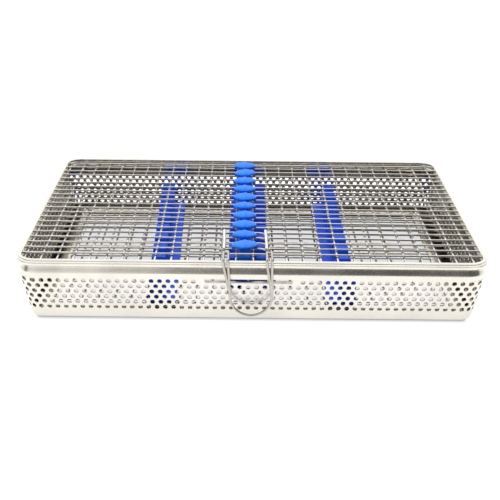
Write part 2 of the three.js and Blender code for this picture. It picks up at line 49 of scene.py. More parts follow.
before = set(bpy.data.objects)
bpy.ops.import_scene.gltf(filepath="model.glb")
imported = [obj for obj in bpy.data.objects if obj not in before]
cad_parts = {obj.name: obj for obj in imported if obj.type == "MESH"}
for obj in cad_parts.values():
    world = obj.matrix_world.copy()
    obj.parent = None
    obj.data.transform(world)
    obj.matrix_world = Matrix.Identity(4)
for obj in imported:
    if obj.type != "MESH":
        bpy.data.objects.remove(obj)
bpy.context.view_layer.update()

MM = 0.001
RUNNING_GAP = 0.3
WELD = 0.3


def box_mm(node):
    """Lowest and highest corner of a CAD node, in millimetres about the middle of the tray."""
    low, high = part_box(node)
    return np.array(low) / MM - tray_middle, np.array(high) / MM - tray_middle


tray_low, tray_high = (np.array(corner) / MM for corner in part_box("tray_shell"))
tray_middle = (tray_low + tray_high) / 2
tray_middle[2] = tray_low[2]
LENGTH, DEPTH, RIM_TOP = tray_high - tray_low
CORNER_RADIUS = 9.0
LEAST_RADIUS = 1.5
DOME_RINGS = 3
DOME_TIP = 0.2
ROUND_SHARE = 0.45

# Tray shell
SHEET = 0.8
SHOULDER_HEIGHT = 3.3
SHOULDER_DEPTH = 0.95
WALL_TOP = 22.2
WALL_TOP_INSET = 1.2
WALL_DRAFT = 3.0
END_FLARE = 0.8
FOOT_RADIUS = 5.0
FOOT_WIDTH = 1.4
FLOOR_LIP_HEIGHT = 3.8

# Catch slot in the front wall, and the ledge pressed out under it
SLOT_LEFT = -20.5
SLOT_RIGHT = 17.3
SLOT_BOTTOM = 21.05
SLOT_TOP = 22.15
LEDGE_REACH = 1.0
LEDGE_HEIGHT = 0.7

# Hole cells: six boundary steps along a cell, two up its side, measured at an inset halfway up the wall
STEPS_ALONG = 6
STEPS_UP = 2
REFERENCE_INSET = 2.7

# Wires of a mesh: points along one, steps its stray is smoothed over, and how its ends flare
Layer = namedtuple("Layer", "points smooth flare_reach flare")
CROSS_LAYER = Layer(151, 25, 1.2, 1.7)
LONG_LAYER = Layer(241, 35, 0.6, 0.5)
LIFT_SHARE = 0.4
SWELL_SHARE = 0.6
RING_COLUMNS = 220

# Floor mesh
FLOOR_PITCH_X = 7.28
FLOOR_SELVAGE = 4.0
FLOOR_SELVAGE_HEIGHT = 1.3
FLOOR_CLEAR = 1.1
FLOOR_CROSS_SEAT = 0.57
FLOOR_LONG_SEAT = 0.6

# Lid mesh and its frame
LONG_WIRES = 21
LONG_PITCH = 6.17
LONG_OFFSET = 1.8
CROSS_WIRES = 28
JOINT_WIRE = 13
JOINT_WIRE_X = -7.15
CROSS_PITCH_LEFT = 7.02
CROSS_PITCH_RIGHT = 7.35
FRAME_WIDTH = 2.3
SIDE_SHARE = 0.87
FRAME_SHEET = 0.7
FRAME_ROUND = 0.65
HEM_BULGE = 0.12
HEM_COLUMNS = 520
CROSS_SEAT = 0.6
LAYER_SHARE = 0.92
LID_SELVAGE_EDGE = 1.3
LID_SELVAGE_SETIN = 0.1
LID_SELVAGE_HEIGHT = 0.8

# Stays behind the latch, in line with the bail's hooks
STAY_X = (-12.6, 6.1)
STAY_LENGTH = 22.4
STAY_SETBACK = 3.0
STAY_RISE = 1.05
STAY_RADIUS = 0.72
STAY_BEND = 0.12
UNDER_STAYS = (16, 19)
DIP_REACH = 1.5
DIP_FORWARD = 0.7
DIP_DOWN = 0.12

# Hold-down strip
HEADS = 10
HEAD_LENGTH = 11.7
HEAD_DEPTH = 9.2
HEAD_HEIGHT = 1.9
HEAD_TOP_SHARE = 0.62
SEAM_RISE = 0.5
SEAM_REACH = 0.35
HEAD_ROOM = 2.6
HEAD_SIZES = (0.93, 0.98)
HEAD_TILTS = (-0.07, 0.05)
HEAD_LEANS = (-0.04, 0.04)
HEAD_SHIFTS = (-0.15, 0.15)
STRIP_WIDTH = 6.4
STRIP_ROUND = 0.8
STEM_WIDTH = 4.6
STEM_ROUND = 0.35
STEM_SINK = 0.5
STEM_RISE = 0.9
STEM_THICKNESS = 1.7
STEM_CLEAR = 0.9

# Racks, whose plugs sit in cells of the floor mesh, counted from the middle
RACK_PITCH = 2 * LONG_PITCH
RACK_HEIGHT = 12.2
FLANGE_THICKNESS = 2.0
NOTCH_WIDTH = 8.2
NOTCH_FLOOR = 4.4
NOTCH_DEPTH = 5.0
RACK_STEP = 0.3
END_DROP = 0.5
SIDE_EDGE = 45.7
SIDE_WALL = 6.7
CENTRE_WALL = 5.5
SIDE_CELLS = (-8, -4, 0, 4, 8)
CENTRE_CELLS = (-6, -2, 2, 6, 8)

# A rack's wall stands along its outer edge, and its skew is how far its back end leans to the right
Rack = namedtuple("Rack", "wall_side edge wall_width plug_x plug_cells skew")
RACKS = {
    "left_rack": Rack("left", -SIDE_EDGE, SIDE_WALL, -6 * FLOOR_PITCH_X, SIDE_CELLS, -3.0),
    "right_rack": Rack("right", SIDE_EDGE, SIDE_WALL, 6 * FLOOR_PITCH_X, SIDE_CELLS, 0.0),
    "centre_rack_left": Rack("left", -10.6, CENTRE_WALL, -FLOOR_PITCH_X, CENTRE_CELLS, 0.0),
    "centre_rack_right": Rack("right", 7.4, CENTRE_WALL, 5.9, CENTRE_CELLS, 0.0),
}

# Latch bail: a loop, and a second turn beside it that hooks under the foremost long wire of the lid
BAIL_BEND = 1.3
LOOP_X = -0.6
LOOP_RADIUS = 9.0
LOOP_RISE = 0.7
LOOP_TOPS = (-10.5, 8.3)
HOOK_RADIUS = 1.5
HOOK_RISE = 1.75
HOOK_SHARES = (0.12, 0.74)
TURN_SETBACK = 2.6
TURNS_MEET_Z = 17.0
TURNS_MEET_SHARE = 0.25

# Hinges
KNUCKLE_RADIUS = 1.6
KNUCKLE_BORE = 0.88
BARREL_ROUND = 0.18
EAR_WIDTH = 1.9
EAR_LAP = 1.0
LEAF_LAP = 0.2
STRAP = 0.7
STRAP_ROUND = 0.2
LUG_SETIN = 0.5
LUG_HEIGHT = 1.5
LUG_ROUND = 0.3
PIN_RADIUS = 0.6
PIN_SETIN = 0.3
PIN_HEAD_RADIUS = 1.1
PIN_HEAD_LENGTH = 0.5


# Sizes, colours and lights that a user would change


def size_setting(name, about, default, low=0.0, high=100.0, kind=bpy.props.FloatProperty, **more):
    """A setting with its label, what it is, its first value and its limits."""
    return kind(name=name, description=about, default=default, min=low, max=high, **more)


def count_setting(name, about, default, low, high):
    return size_setting(name, about, default, low, high, bpy.props.IntProperty)


def share_setting(name, about, default, high=1.0):
    return size_setting(name, about, default, 0.0, high, subtype="FACTOR")


def colour_setting(name, about, default):
    return size_setting(name, about, default, 0, 1, bpy.props.FloatVectorProperty, subtype="COLOR", size=3)


class CassetteTray(bpy.types.PropertyGroup):
    """The punched sheet."""

    hole_diameter: size_setting("Hole diameter", "Width of one punched hole, in mm", 2.15, 0.5, 2.3)
    hole_rows: count_setting("Hole rows", "Rows of holes up each wall", 6, 1, 6)
    row_pitch: size_setting("Row pitch", "Height from one row of holes to the next, in mm", 2.68, 2.3, 2.8)
    hole_columns: count_setting("Hole columns", "Holes in one row, all the way round", 183, 40, 200)
    top_row: size_setting("Top row", "Height of the top row's middle, in mm", 20.85, 15, 21)


class CassetteWire(bpy.types.PropertyGroup):
    """The wires of lid, floor and latch."""

    thickness: size_setting("Wire", "Thickness of a mesh wire, in mm", 0.96, 0.5, 1.2)
    bail_thickness: size_setting("Bail wire", "Thickness of the latch wire, in mm", 1.15, 0.8, 1.3)
    wander: size_setting("Wander", "How far a welded wire strays from its line, in mm", 0.16, 0, 0.3)
    weld_swell: share_setting("Weld swell", "Share by which a wire swells at a weld", 0.1, 0.3)


class CassetteFinish(bpy.types.PropertyGroup):
    """Colours and gloss."""

    steel: colour_setting("Steel", "Colour of the steel", (0.80, 0.765, 0.69))
    steel_roughness: share_setting("Steel roughness", "Roughness of electropolished sheet", 0.24)
    # Painted shade: the tray's inside is painted darker, at this share of its outside.
    inside_painted_shade: share_setting("Inside", "Brightness of the tray's inside, as a share of its outside", 0.32)
    wire_roughness: share_setting("Wire roughness", "Roughness of the drawn wire", 0.16)
    spring_share: share_setting("Spring wire", "Brightness of the latch, as a share of the sheet's", 0.66)
    rack_blue: colour_setting("Rack blue", "Colour of the racks", (0.006, 0.075, 0.62))
    head_blue: colour_setting("Head blue", "Colour of the hold-down strip", (0.01, 0.16, 0.82))


class CassetteStudio(bpy.types.PropertyGroup):
    """Lights."""

    key: size_setting("Top light", "Power of the soft light overhead, in watts", 4.0)
    fill: size_setting("Left light", "Power of the soft light on the left, in watts", 2.4)
    back: size_setting("Back card", "Strength of the bright card behind", 1.3)
    sides: size_setting("Side cards", "Strength of the bright cards at the ends", 0.9)
    above: size_setting("Top card", "Strength of the bright card overhead", 1.15)
    front: size_setting("Front card", "Strength of the card in front on the left", 1.1)
    sky: size_setting("Sky", "Strength of the even light from all round", 0.1)


# Mesh making


class Shell:
    """Vertices in millimetres, faces as arrays of vertex numbers, and a mark for the tray's inside, where the
    sheet's material paints shade.
    """

    def __init__(self, points, *faces, inner=0.0):
        points = np.asarray(points, float)
        self.inner = np.broadcast_to(inner, points.shape[:-1]).ravel()
        self.points = points.reshape(-1, 3)
        self.faces = [np.asarray(rows, int) for rows in faces if len(rows)]


def grid_faces(rows, columns, wrap_rows=False, wrap_columns=False):
    """The four-sided faces of a grid of rows by columns of vertices, numbered row by row."""
    row = np.arange(rows if wrap_rows else rows - 1)[:, None]
    column = np.arange(columns if wrap_columns else columns - 1)[None, :]
    below = row * columns
    above = (row + 1) % rows * columns
    after = (column + 1) % columns
    quads = np.stack([below + column, below + after, above + after, above + column], axis=-1)
    return quads.reshape(-1, 4)


def points_of(*parts):
    """Points from their coordinates, each a number or an array of them, spread to one shape."""
    return np.stack(np.broadcast_arrays(*parts), -1)


def turn_angles(steps):
    """Angles in radians of even steps once round."""
    return np.arange(steps) * 2 * math.pi / steps


def join_shells(shells):
    """One shell of several."""
    points = np.concatenate([shell.points for shell in shells])
    faces = []
    start = 0
    for shell in shells:
        faces += [rows + start for rows in shell.faces]
        start += len(shell.points)
    return Shell(points, *faces, inner=np.concatenate([shell.inner for shell in shells]))


def make_mesh(name, shell, sharp_degrees):
    """A mesh in metres in the frame, from a closed shell in millimetres about the tray's middle."""
    mesh = bpy.data.meshes.new(name)
    faces = [face for rows in shell.faces for face in rows.tolist()]
    mesh.from_pydata(((shell.points + tray_middle) * MM).tolist(), [], faces)
    mesh.validate()
    mesh.shade_smooth()
    work = bmesh.new()
    work.from_mesh(mesh)
    bmesh.ops.recalc_face_normals(work, faces=work.faces)
    work.to_mesh(mesh)
    work.free()
    # The inside mark becomes an attribute, which the sheet's material paints in shade.
    if shell.inner.any():
        mark = mesh.attributes.new("inner", "FLOAT", "POINT")
        mark.data.foreach_set("value", shell.inner.astype(np.float32))
    mesh.set_sharp_from_angle(angle=math.radians(sharp_degrees))
    return mesh


def outline(inset, along, side_inset):
    """Points on the rounded outline at an inset, for shares of the way round from the front's middle.

    A straight side runs evenly between its corners' ends, and a corner turns evenly through a quarter.
    Shares are measured on the outline at the reference inset, towards +X, counterclockwise from above.
    The two ends have an inset of their own.
    """
    values = (inset, along, side_inset)
    inset, along, side_inset = np.broadcast_arrays(*(np.asarray(value, float) for value in values))
    straight = np.array([LENGTH, DEPTH]) - 2 * CORNER_RADIUS
    turn = (CORNER_RADIUS - REFERENCE_INSET) * math.pi / 2
    lengths = np.array([straight[0], turn, straight[1], turn] * 2)
    ends = np.cumsum(lengths)
    way = (along * ends[-1] + straight[0] / 2) % ends[-1]
    segment = np.searchsorted(ends, way, side="right") % 8
    share = (way - (ends - lengths)[segment]) / lengths[segment]
    radius = np.maximum(CORNER_RADIUS - inset, LEAST_RADIUS)
    half_x = LENGTH / 2 - side_inset - radius
    half_y = DEPTH / 2 - inset - radius
    side = segment // 2
    across_x = np.choose(side, [2 * share - 1, 1.0 + 0 * share, 1 - 2 * share, -1.0 + 0 * share])
    across_y = np.choose(side, [-1.0 + 0 * share, 2 * share - 1, 1.0 + 0 * share, 1 - 2 * share])
    corner = segment % 2 == 1
    centre_x = np.where(corner, np.choose(side, [1, 1, -1, -1]), across_x) * half_x
    centre_y = np.where(corner, np.choose(side, [-1, 1, 1, -1]), across_y) * half_y
    angle = (side - 1 + np.where(corner, share, 0.0)) * math.pi / 2
    return centre_x + radius * np.cos(angle), centre_y + radius * np.sin(angle)


def carry_round(profile, columns, side_inset, inner=0.0):
    """A closed profile of (inset, height) points carried round the outline, as a closed shell."""
    profile = np.asarray(profile, float)
    along = np.arange(columns) / columns
    x, y = outline(profile[None, :, 0], along[:, None], side_inset[None])
    points = points_of(x, y, profile[None, :, 1])
    return Shell(points, grid_faces(columns, len(profile), True, True), inner=inner)


def arc(centre, radius, start_degrees, end_degrees, steps):
    """Points on an arc in a plane, as (across, up) rows."""
    angle = np.radians(np.linspace(start_degrees, end_degrees, steps + 1))
    return points_of(centre[0] + radius * np.cos(angle), centre[1] + radius * np.sin(angle))


def rounded_section(half_x, half_y, radius, steps=4):
    """A rectangle with rounded corners about the origin, as (across, up) rows."""
    inner_x, inner_y = half_x - radius, half_y - radius
    corners = [((inner_x, inner_y), 0), ((-inner_x, inner_y), 90), ((-inner_x, -inner_y), 180),
               ((inner_x, -inner_y), 270)]
    return np.concatenate([arc(centre, radius, start, start + 90, steps) for centre, start in corners])


def rounded_block(low, high, radius, axis=2, steps=4):
    """A block with all its edges rounded: rounded sections stacked along an axis, smaller at the ends."""
    low, high = np.asarray(low, float), np.asarray(high, float)
    middle, half = (low + high) / 2, (high - low) / 2
    first, second = [other for other in range(3) if other != axis]
    bend = np.linspace(0, math.pi / 2, steps + 1)
    shrink = radius * (1 - np.sin(bend))
    offset = half[axis] - radius * (1 - np.cos(bend))
    shrink = np.concatenate([shrink, shrink[::-1]])
    offset = np.concatenate([-offset, offset[::-1]])
    section = rounded_section(half[first], half[second], radius, steps)
    reach = np.array([half[first], half[second]])
    scale = 1 - shrink[:, None, None] / reach
    points = np.zeros((len(offset), len(section), 3))
    points[..., [first, second]] = section[None] * scale
    points[..., axis] = offset[:, None]
    return capped(points + middle)


def capped(points):
    """A shell of a stack of closed sections, with a face over each end."""
    rows, columns = points.shape[:2]
    ends = np.stack([np.arange(columns)[::-1], (rows - 1) * columns + np.arange(columns)])
    return Shell(points, grid_faces(rows, columns, False, True), ends)


def smooth_path(points, steps=6):
    """A curve through points: cubic pieces, sloping at a point as the line between its neighbours."""
    points = np.asarray(points, float)
    before = np.concatenate([2 * points[:1] - points[1:2], points[:-1]])
    after = np.concatenate([points[1:], 2 * points[-1:] - points[-2:-1]])
    slope = (after - before) / 2
    t = (np.arange(steps) / steps)[None, :, None]
    start, end = points[:-1, None], points[1:, None]
    curve = ((2 * t ** 3 - 3 * t ** 2 + 1) * start + (t ** 3 - 2 * t ** 2 + t) * slope[:-1, None]
             + (3 * t ** 2 - 2 * t ** 3) * end + (t ** 3 - t ** 2) * slope[1:, None])
    return np.concatenate([curve.reshape(-1, 3), points[-1:]])


def tube(path, radius, sides=12, reference=(1, 1, 0)):
    """A round wire along a path, with domed ends: rings whose radius is the sine of the way round.

    The reference is never along the path.
    """
    path = np.asarray(path, float)
    tangent = np.gradient(path, axis=0)
    tangent /= np.linalg.norm(tangent, axis=1)[:, None]
    bend = np.linspace(0, math.pi / 2, DOME_RINGS + 1)[:-1]
    lead = radius * (1 - np.sin(bend))[:, None]
    scale = np.maximum(np.sin(bend), DOME_TIP)
    path = np.concatenate([path[:1] + tangent[:1] * lead, path[1:-1], path[-1:] - tangent[-1:] * lead[::-1]])
    radii = radius * np.concatenate([scale, np.ones(len(path) - 2 * DOME_RINGS), scale[::-1]])
    first, last = (np.repeat(end, DOME_RINGS, 0) for end in (tangent[:1], tangent[-1:]))
    tangent = np.concatenate([first, tangent[1:-1], last])
    across = np.cross(tangent, np.asarray(reference, float))
    across /= np.linalg.norm(across, axis=1)[:, None]
    up = np.cross(tangent, across)
    angle = turn_angles(sides)
    ring = across[:, None] * np.cos(angle)[None, :, None] + up[:, None] * np.sin(angle)[None, :, None]
    return capped(path[:, None] + ring * radii[:, None, None])


def straight_wires(paths, width, height, across, sides=8):
    """Many wires at once. Paths are wires by points by 3, and widths and the height are halved."""
    count, steps = paths.shape[:2]
    angle = turn_angles(sides)
    ring = (np.asarray(across, float) * np.cos(angle)[:, None] * width[..., None, None]
            + np.array([0.0, 0.0, 1.0]) * np.sin(angle)[:, None] * height)
    points = paths[:, :, None] + ring
    per_wire = steps * sides
    starts = np.arange(count) * per_wire
    quads = (grid_faces(steps, sides, False, True)[None] + starts[:, None, None]).reshape(-1, 4)
    first = np.arange(sides)[::-1][None] + starts[:, None]
    last = per_wire - sides + np.arange(sides)[None] + starts[:, None]
    return Shell(points, quads, first, last)


def even_noise(seed, shape, smooth):
    """Seeded noise between -1 and 1 along the last axis, smoothed over a number of steps."""
    values = np.random.default_rng(seed).uniform(-1, 1, shape)
    kernel = np.hanning(smooth + 2)[1:-1]
    kernel /= np.sqrt((kernel ** 2).sum())
    return np.apply_along_axis(lambda row: np.convolve(row, kernel, "same"), -1, values)


# Materials

WHITE = (1, 1, 1, 1)
WIRE_SHARE = 1.1


class Value:
    """A socket of a shader's nodes, for maths written with the usual signs."""

    def __init__(self, nodes, socket):
        self.nodes = nodes
        self.socket = socket

    def maths(self, operation, *others):
        inputs = dict(enumerate([self, *others]))
        return self.nodes.make("ShaderNodeMath", {"operation": operation}, inputs)

    def __add__(self, other):
        return self.maths("ADD", other)

    def __sub__(self, other):
        return self.maths("SUBTRACT", other)

    def __rsub__(self, other):
        return (self * -1.0) + other

    def __mul__(self, other):
        return self.maths("MULTIPLY", other)

    __radd__ = __add__
    __rmul__ = __mul__


class Nodes:
    """The node tree of one material or world."""

    def __init__(self, owner):
        owner.use_nodes = True
        self.owner = owner
        self.tree = owner.node_tree
        self.tree.nodes.clear()

    def make(self, kind, settings=None, inputs=None, output=0):
        """A node with its settings made first and then the values or links of its inputs."""
        node = self.tree.nodes.new(kind)
        for name, value in (settings or {}).items():
            setattr(node, name, value)
        for name, value in (inputs or {}).items():
            if isinstance(value, Value):
                self.tree.links.new(value.socket, node.inputs[name])
            else:
                node.inputs[name].default_value = value
        return Value(self, node.outputs[output]) if node.outputs else None

    def place(self, scale=(1, 1, 1)):
        """Object coordinates, stretched."""
        where = self.make("ShaderNodeTexCoord", output="Object")
        return self.make("ShaderNodeMapping", inputs={"Vector": where, "Scale": scale})

    def noise(self, scale, detail=4.0, stretch=(1, 1, 1)):
        """Noise from 0 to 1 at a number of features to the metre."""
        inputs = {"Vector": self.place(stretch), "Scale": scale, "Detail": detail}
        return self.make("ShaderNodeTexNoise", inputs=inputs)

    def spread(self, value, low, high, to_low=0.0, to_high=1.0):
        """A value's range between two levels, spread to another range."""
        inputs = {"Value": value, "From Min": low, "From Max": high, "To Min": to_low, "To Max": to_high}
        return self.make("ShaderNodeMapRange", {"clamp": True}, inputs)

    def mix(self, share, first, second):
        """A colour between two."""
        inputs = {0: share, 6: first, 7: second}
        return self.make("ShaderNodeMix", {"data_type": "RGBA"}, inputs, output=2)

    def blend(self, share, first, second):
        """A shader between two."""
        return self.make("ShaderNodeMixShader", inputs={0: share, 1: first, 2: second})

    def both(self, first, second):
        """Two shaders added."""
        return self.make("ShaderNodeAddShader", inputs={0: first, 1: second})

    def matt(self, grey):
        return self.make("ShaderNodeBsdfDiffuse", inputs={"Color": (grey, grey, grey, 1)})

    def glow(self, rgba, strength):
        return self.make("ShaderNodeEmission", inputs={"Color": rgba, "Strength": strength})

    def bump(self, height, strength, distance):
        inputs = {"Height": height, "Strength": strength, "Distance": distance}
        return self.make("ShaderNodeBump", inputs=inputs)

    def finished(self, shader, kind="Material"):
        """The material or world, with its shader in place."""
        self.make(f"ShaderNodeOutput{kind}", inputs={"Surface": shader})
        return self.owner

    def surface(self, tint, rough, relief, fixed):
        """The material as a Principled surface: fixed sockets hold one value each."""
        inputs = {"Base Color": tint, "Roughness": rough, "Normal": relief, **fixed}
        return self.finished(self.make("ShaderNodeBsdfPrincipled", inputs=inputs))


def colour(rgb, share=1.0):
    """A colour with its alpha, darkened or lightened by a share."""
    return (*(min(1.0, channel * share) for channel in rgb), 1.0)


def sheet_steel(name, finish):
    """Electropolished sheet: faint clouds and fine press grain, with painted shade inside the tray, which is
    darker there and glossier.
    """
    nodes = Nodes(bpy.data.materials.new(name))
    clouds = nodes.noise(55.0)
    grain = nodes.noise(900.0, 3.0, (1.0, 1.0, 7.0))
    speck = nodes.noise(2600.0, 2.0)
    inner = nodes.make("ShaderNodeAttribute", {"attribute_name": "inner"}, output="Fac")
    tint = nodes.mix(nodes.spread(clouds, 0.35, 0.65), colour(finish.steel), colour(finish.steel, 0.93))
    # Painted shade: the sheet darkens to the inside share where the inside mark is set.
    tint = nodes.mix(inner, tint, colour(finish.steel, finish.inside_painted_shade))
    rough = (nodes.spread(clouds, 0.3, 0.7, finish.steel_roughness - 0.05, finish.steel_roughness + 0.07)
             + nodes.spread(grain, 0.3, 0.7, -0.02, 0.02) - inner * 0.08)
    relief = nodes.bump(grain + speck * 0.4, 0.02, 0.00006)
    return nodes.surface(tint, rough, relief, {"Metallic": 1.0})


def wire_steel(name, finish, share):
    """Drawn and electropolished wire, at a share of the sheet's brightness, with faint draw marks."""
    nodes = Nodes(bpy.data.materials.new(name))
    patches = nodes.noise(420.0, 3.0)
    marks = nodes.noise(3200.0, 2.0)
    bright, dull = colour(finish.steel, share), colour(finish.steel, share * 0.87)
    tint = nodes.mix(nodes.spread(patches, 0.35, 0.7), bright, dull)
    rough = nodes.spread(patches, 0.3, 0.7, finish.wire_roughness - 0.04, finish.wire_roughness + 0.08)
    relief = nodes.bump(marks, 0.05, 0.00004)
    return nodes.surface(tint, rough, relief, {"Metallic": 1.0})


def silicone(name, finish, rgb):
    """Moulded silicone: soft sheen, faint mottling and a fine matt grain."""
    nodes = Nodes(bpy.data.materials.new(name))
    mottle = nodes.noise(160.0, 3.0)
    grain = nodes.noise(2400.0, 2.0)
    tint = nodes.mix(nodes.spread(mottle, 0.3, 0.7), colour(rgb, 0.9), colour(rgb, 1.12))
    rough = nodes.spread(mottle, 0.3, 0.7, 0.42, 0.52)
    relief = nodes.bump(grain, 0.15, 0.0001)
    fixed = {"Subsurface Weight": 0.12, "Subsurface Radius": (0.001, 0.002, 0.004),
             "Specular IOR Level": 0.25}
    return nodes.surface(tint, rough, relief, fixed)


def material_of(name, finish):
    """A material, made the first time that a piece asks for it, and the slot that it fills."""
    slot, maker, *values = {
        "electropolished_sheet": ("sheet_steel", sheet_steel),
        "bright_wire": ("wire_steel", wire_steel, WIRE_SHARE),
        "spring_wire": ("wire_steel", wire_steel, finish.spring_share),
        "rack_silicone": ("silicone", silicone, finish.rack_blue),
        "head_silicone": ("silicone", silicone, finish.head_blue),
    }[name]
    return bpy.data.materials.get(name) or maker(name, finish, *values), slot


def add_piece(name, shells, body, material_name, replaced, sharp_degrees=40):
    """A piece of the cassette from closed shells: it rides on a body and stands for a CAD node."""
    material, slot = material_of(material_name, bpy.context.scene.cassette_finish)
    mesh = make_mesh(name, join_shells(shells), sharp_degrees)
    mesh.materials.append(material)
    piece = bpy.data.objects.new(name, mesh)
    bpy.context.scene.collection.objects.link(piece)
    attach(piece, body)
    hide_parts(replaced)


# Tray shell


def wall_inset(height):
    """Inset of the wall's outer face: it leans in evenly from the shoulder down to the foot's bend."""
    return WALL_TOP_INSET + WALL_DRAFT * (WALL_TOP - height) / (WALL_TOP - FOOT_RADIUS)


def end_inset(inset, height):
    """Inset at the tray's two ends, which lean out further towards the top than the front and back."""
    return inset - END_FLARE * np.clip((height - FOOT_RADIUS) / (WALL_TOP - FOOT_RADIUS), 0, 1)


def wall_points(along, height, depth):
    """Points of the wall at shares of the way round, heights, and depths below its outer face."""
    inset = wall_inset(height) + depth
    x, y = outline(inset, along, end_inset(inset, height))
    return points_of(x, y, height)


def cell_rim(steps_along, steps_up):
    """A cell's boundary from its low left corner, counterclockwise, as points from -1 to 1."""
    low = points_of(np.arange(steps_along) * 2 / steps_along - 1, -1.0)
    right = points_of(1.0, np.arange(steps_up) * 2 / steps_up - 1)
    return np.concatenate([low, right, -low, -right])


def pierced_cells(centres, half, rim, hole):
    """Cells of the wall, each with an opening: both faces of the sheet and the opening's edge.

    Rim and hole hold as many points each, in cell units and in millimetres. The faces run from rim to
    hole, and the edge joins the two faces of the sheet.
    """
    count, points = len(centres), len(rim)
    rims = centres[:, None] + rim * half
    holes = centres[:, None] + hole
    perimeter = round_length()
    loops = [wall_points(loop[..., 0] / perimeter, loop[..., 1], depth)
             for loop, depth in ((rims, 0.0), (holes, 0.0), (holes, SHEET), (rims, SHEET))]
    stacked = np.stack(loops, 1)
    quads = grid_faces(4, points, False, True)[None] + (np.arange(count) * 4 * points)[:, None, None]
    # The inside face is marked for painted shade, and each hole's edge shades towards it.
    return Shell(stacked, quads.reshape(-1, 4), inner=np.array([0.0, 0.0, 1.0, 1.0])[:, None])


def round_length():
    """Length of the outline at the reference inset."""
    turn = (CORNER_RADIUS - REFERENCE_INSET) * math.pi / 2
    return 2 * (LENGTH + DEPTH - 4 * CORNER_RADIUS) + 4 * turn


def perforated_wall(settings):
    """The wall's band of holes, brick laid, with the catch slot in place of some of the top row."""
    columns = settings.hole_columns
    pitch = round_length() / columns
    half = np.array([pitch / 2, settings.row_pitch / 2])
    rim = cell_rim(STEPS_ALONG, STEPS_UP)
    toward = np.arctan2(rim[:, 1] * half[1], rim[:, 0] * half[0])
    hole = settings.hole_diameter / 2 * points_of(np.cos(toward), np.sin(toward))
    slot_low, slot_high = np.array([SLOT_LEFT, SLOT_BOTTOM]), np.array([SLOT_RIGHT, SLOT_TOP])
    shells = []
    for row in range(settings.hole_rows):
        place = np.arange(columns) + (0.5 if row % 2 else 0.0)
        height = settings.top_row - row * settings.row_pitch
        centres = points_of(place * pitch, height)
        if row == 0:
            way = (centres[:, 0] + round_length() / 2) % round_length() - round_length() / 2
            cut = (way > SLOT_LEFT - pitch / 2) & (way < SLOT_RIGHT + pitch / 2)
            first, last = way[cut].min() - pitch / 2, way[cut].max() + pitch / 2
            middle = np.array([[(first + last) / 2, height]])
            slot_half = np.array([(last - first) / 2, half[1]])
            slot_rim = cell_rim(STEPS_ALONG * int(cut.sum()), STEPS_UP)
            slot = slot_rim * (slot_high - slot_low) / 2 + (slot_low + slot_high) / 2 - middle[0]
            shells.append(pierced_cells(middle, slot_half, slot_rim, slot))
            centres = centres[~cut]
        shells.append(pierced_cells(centres, half, rim, hole))
    return shells


def rim_profile():
    """Outer and inner side of the rim: a shoulder that leans back from the wall up to the lid."""
    low = RIM_TOP - SHOULDER_HEIGHT
    ridge = wall_inset(low)
    set_back = ridge + SHOULDER_DEPTH
    lip = SHEET / 2
    over = arc((set_back + lip, RIM_TOP - lip), lip, 0, 180, 8)
    down = np.array([0.8, 0.55, 0.3, 0.12])
    cove = points_of(ridge + SHOULDER_DEPTH * down ** 1.3, low + SHOULDER_HEIGHT * down * 0.8)
    outside = np.concatenate([over, cove, [(ridge + 0.03, low + 0.12), (ridge, low - 0.15)]])
    inside = np.array([(ridge + SHEET, low - 0.15), (set_back + SHEET, low + SHOULDER_HEIGHT * 0.7)])
    return outside, inside


def marked(outside, inside):
    """One closed section of the sheet, and a mark from 0 to 1 for the points of its inside, which the sheet's
    material paints in shade.
    """
    return np.concatenate([outside, inside]), np.repeat([0.0, 1.0], [len(outside), len(inside)])


def tray_profiles(band_bottom, band_top):
    """Closed sections above and below the band of holes: (inset, height) rows and their inside marks for the
    painted shade.
    """
    outside, inside = rim_profile()
    outside = np.concatenate([outside, [(wall_inset(band_top), band_top)]])
    inside = np.concatenate([[(wall_inset(band_top) + SHEET, band_top)], inside])
    above = marked(outside, inside)
    foot = WALL_TOP_INSET + WALL_DRAFT
    lip = foot + FOOT_RADIUS + FOOT_WIDTH
    edge = [(wall_inset(band_bottom) + SHEET, band_bottom), (wall_inset(band_bottom), band_bottom)]
    bend_out = arc((foot + FOOT_RADIUS, FOOT_RADIUS), FOOT_RADIUS, 180, 270, 8)
    bend_in = arc((foot + FOOT_RADIUS, FOOT_RADIUS), FOOT_RADIUS - SHEET, 270, 180, 8)
    turn = [(lip - SHEET, 0.0), (lip - 0.3 * SHEET, 0.3 * SHEET), (lip, SHEET), (lip, FLOOR_LIP_HEIGHT),
            (lip - SHEET, FLOOR_LIP_HEIGHT), (lip - SHEET, SHEET)]
    outside = np.concatenate([edge[1:], bend_out, turn[:4]])
    inside = np.concatenate([turn[4:], bend_in, edge[:1]])
    return above, marked(outside, inside)


def catch_ledge():
    """The pressed ledge under the catch slot: a rounded lip that stands out of the front wall."""
    face = -DEPTH / 2 + wall_inset(SLOT_BOTTOM)
    low = (SLOT_LEFT, face - LEDGE_REACH, SLOT_BOTTOM - LEDGE_HEIGHT)
    high = (SLOT_RIGHT, face + SHEET / 2, SLOT_BOTTOM)
    return rounded_block(low, high, LEDGE_HEIGHT * ROUND_SHARE, axis=0)


class CASSETTE_OT_tray(bpy.types.Operator):
    """Build the perforated tray with its shoulder, foot, floor lip and catch slot"""

    bl_idname = "cassette.tray"
    bl_label = "Tray"

    def execute(self, context):
        settings = context.scene.cassette_tray
        band_top = settings.top_row + settings.row_pitch / 2
        band_bottom = band_top - settings.hole_rows * settings.row_pitch
        shells = [*perforated_wall(settings), catch_ledge()]
        for profile, inner in tray_profiles(band_bottom, band_top):
            side = end_inset(profile[:, 0], profile[:, 1])
            shells.append(carry_round(profile, settings.hole_columns * 2, side, inner))
        add_piece("perforated_tray", shells, "tray", "electropolished_sheet", "tray_shell")
        return {"FINISHED"}


# Wire meshes


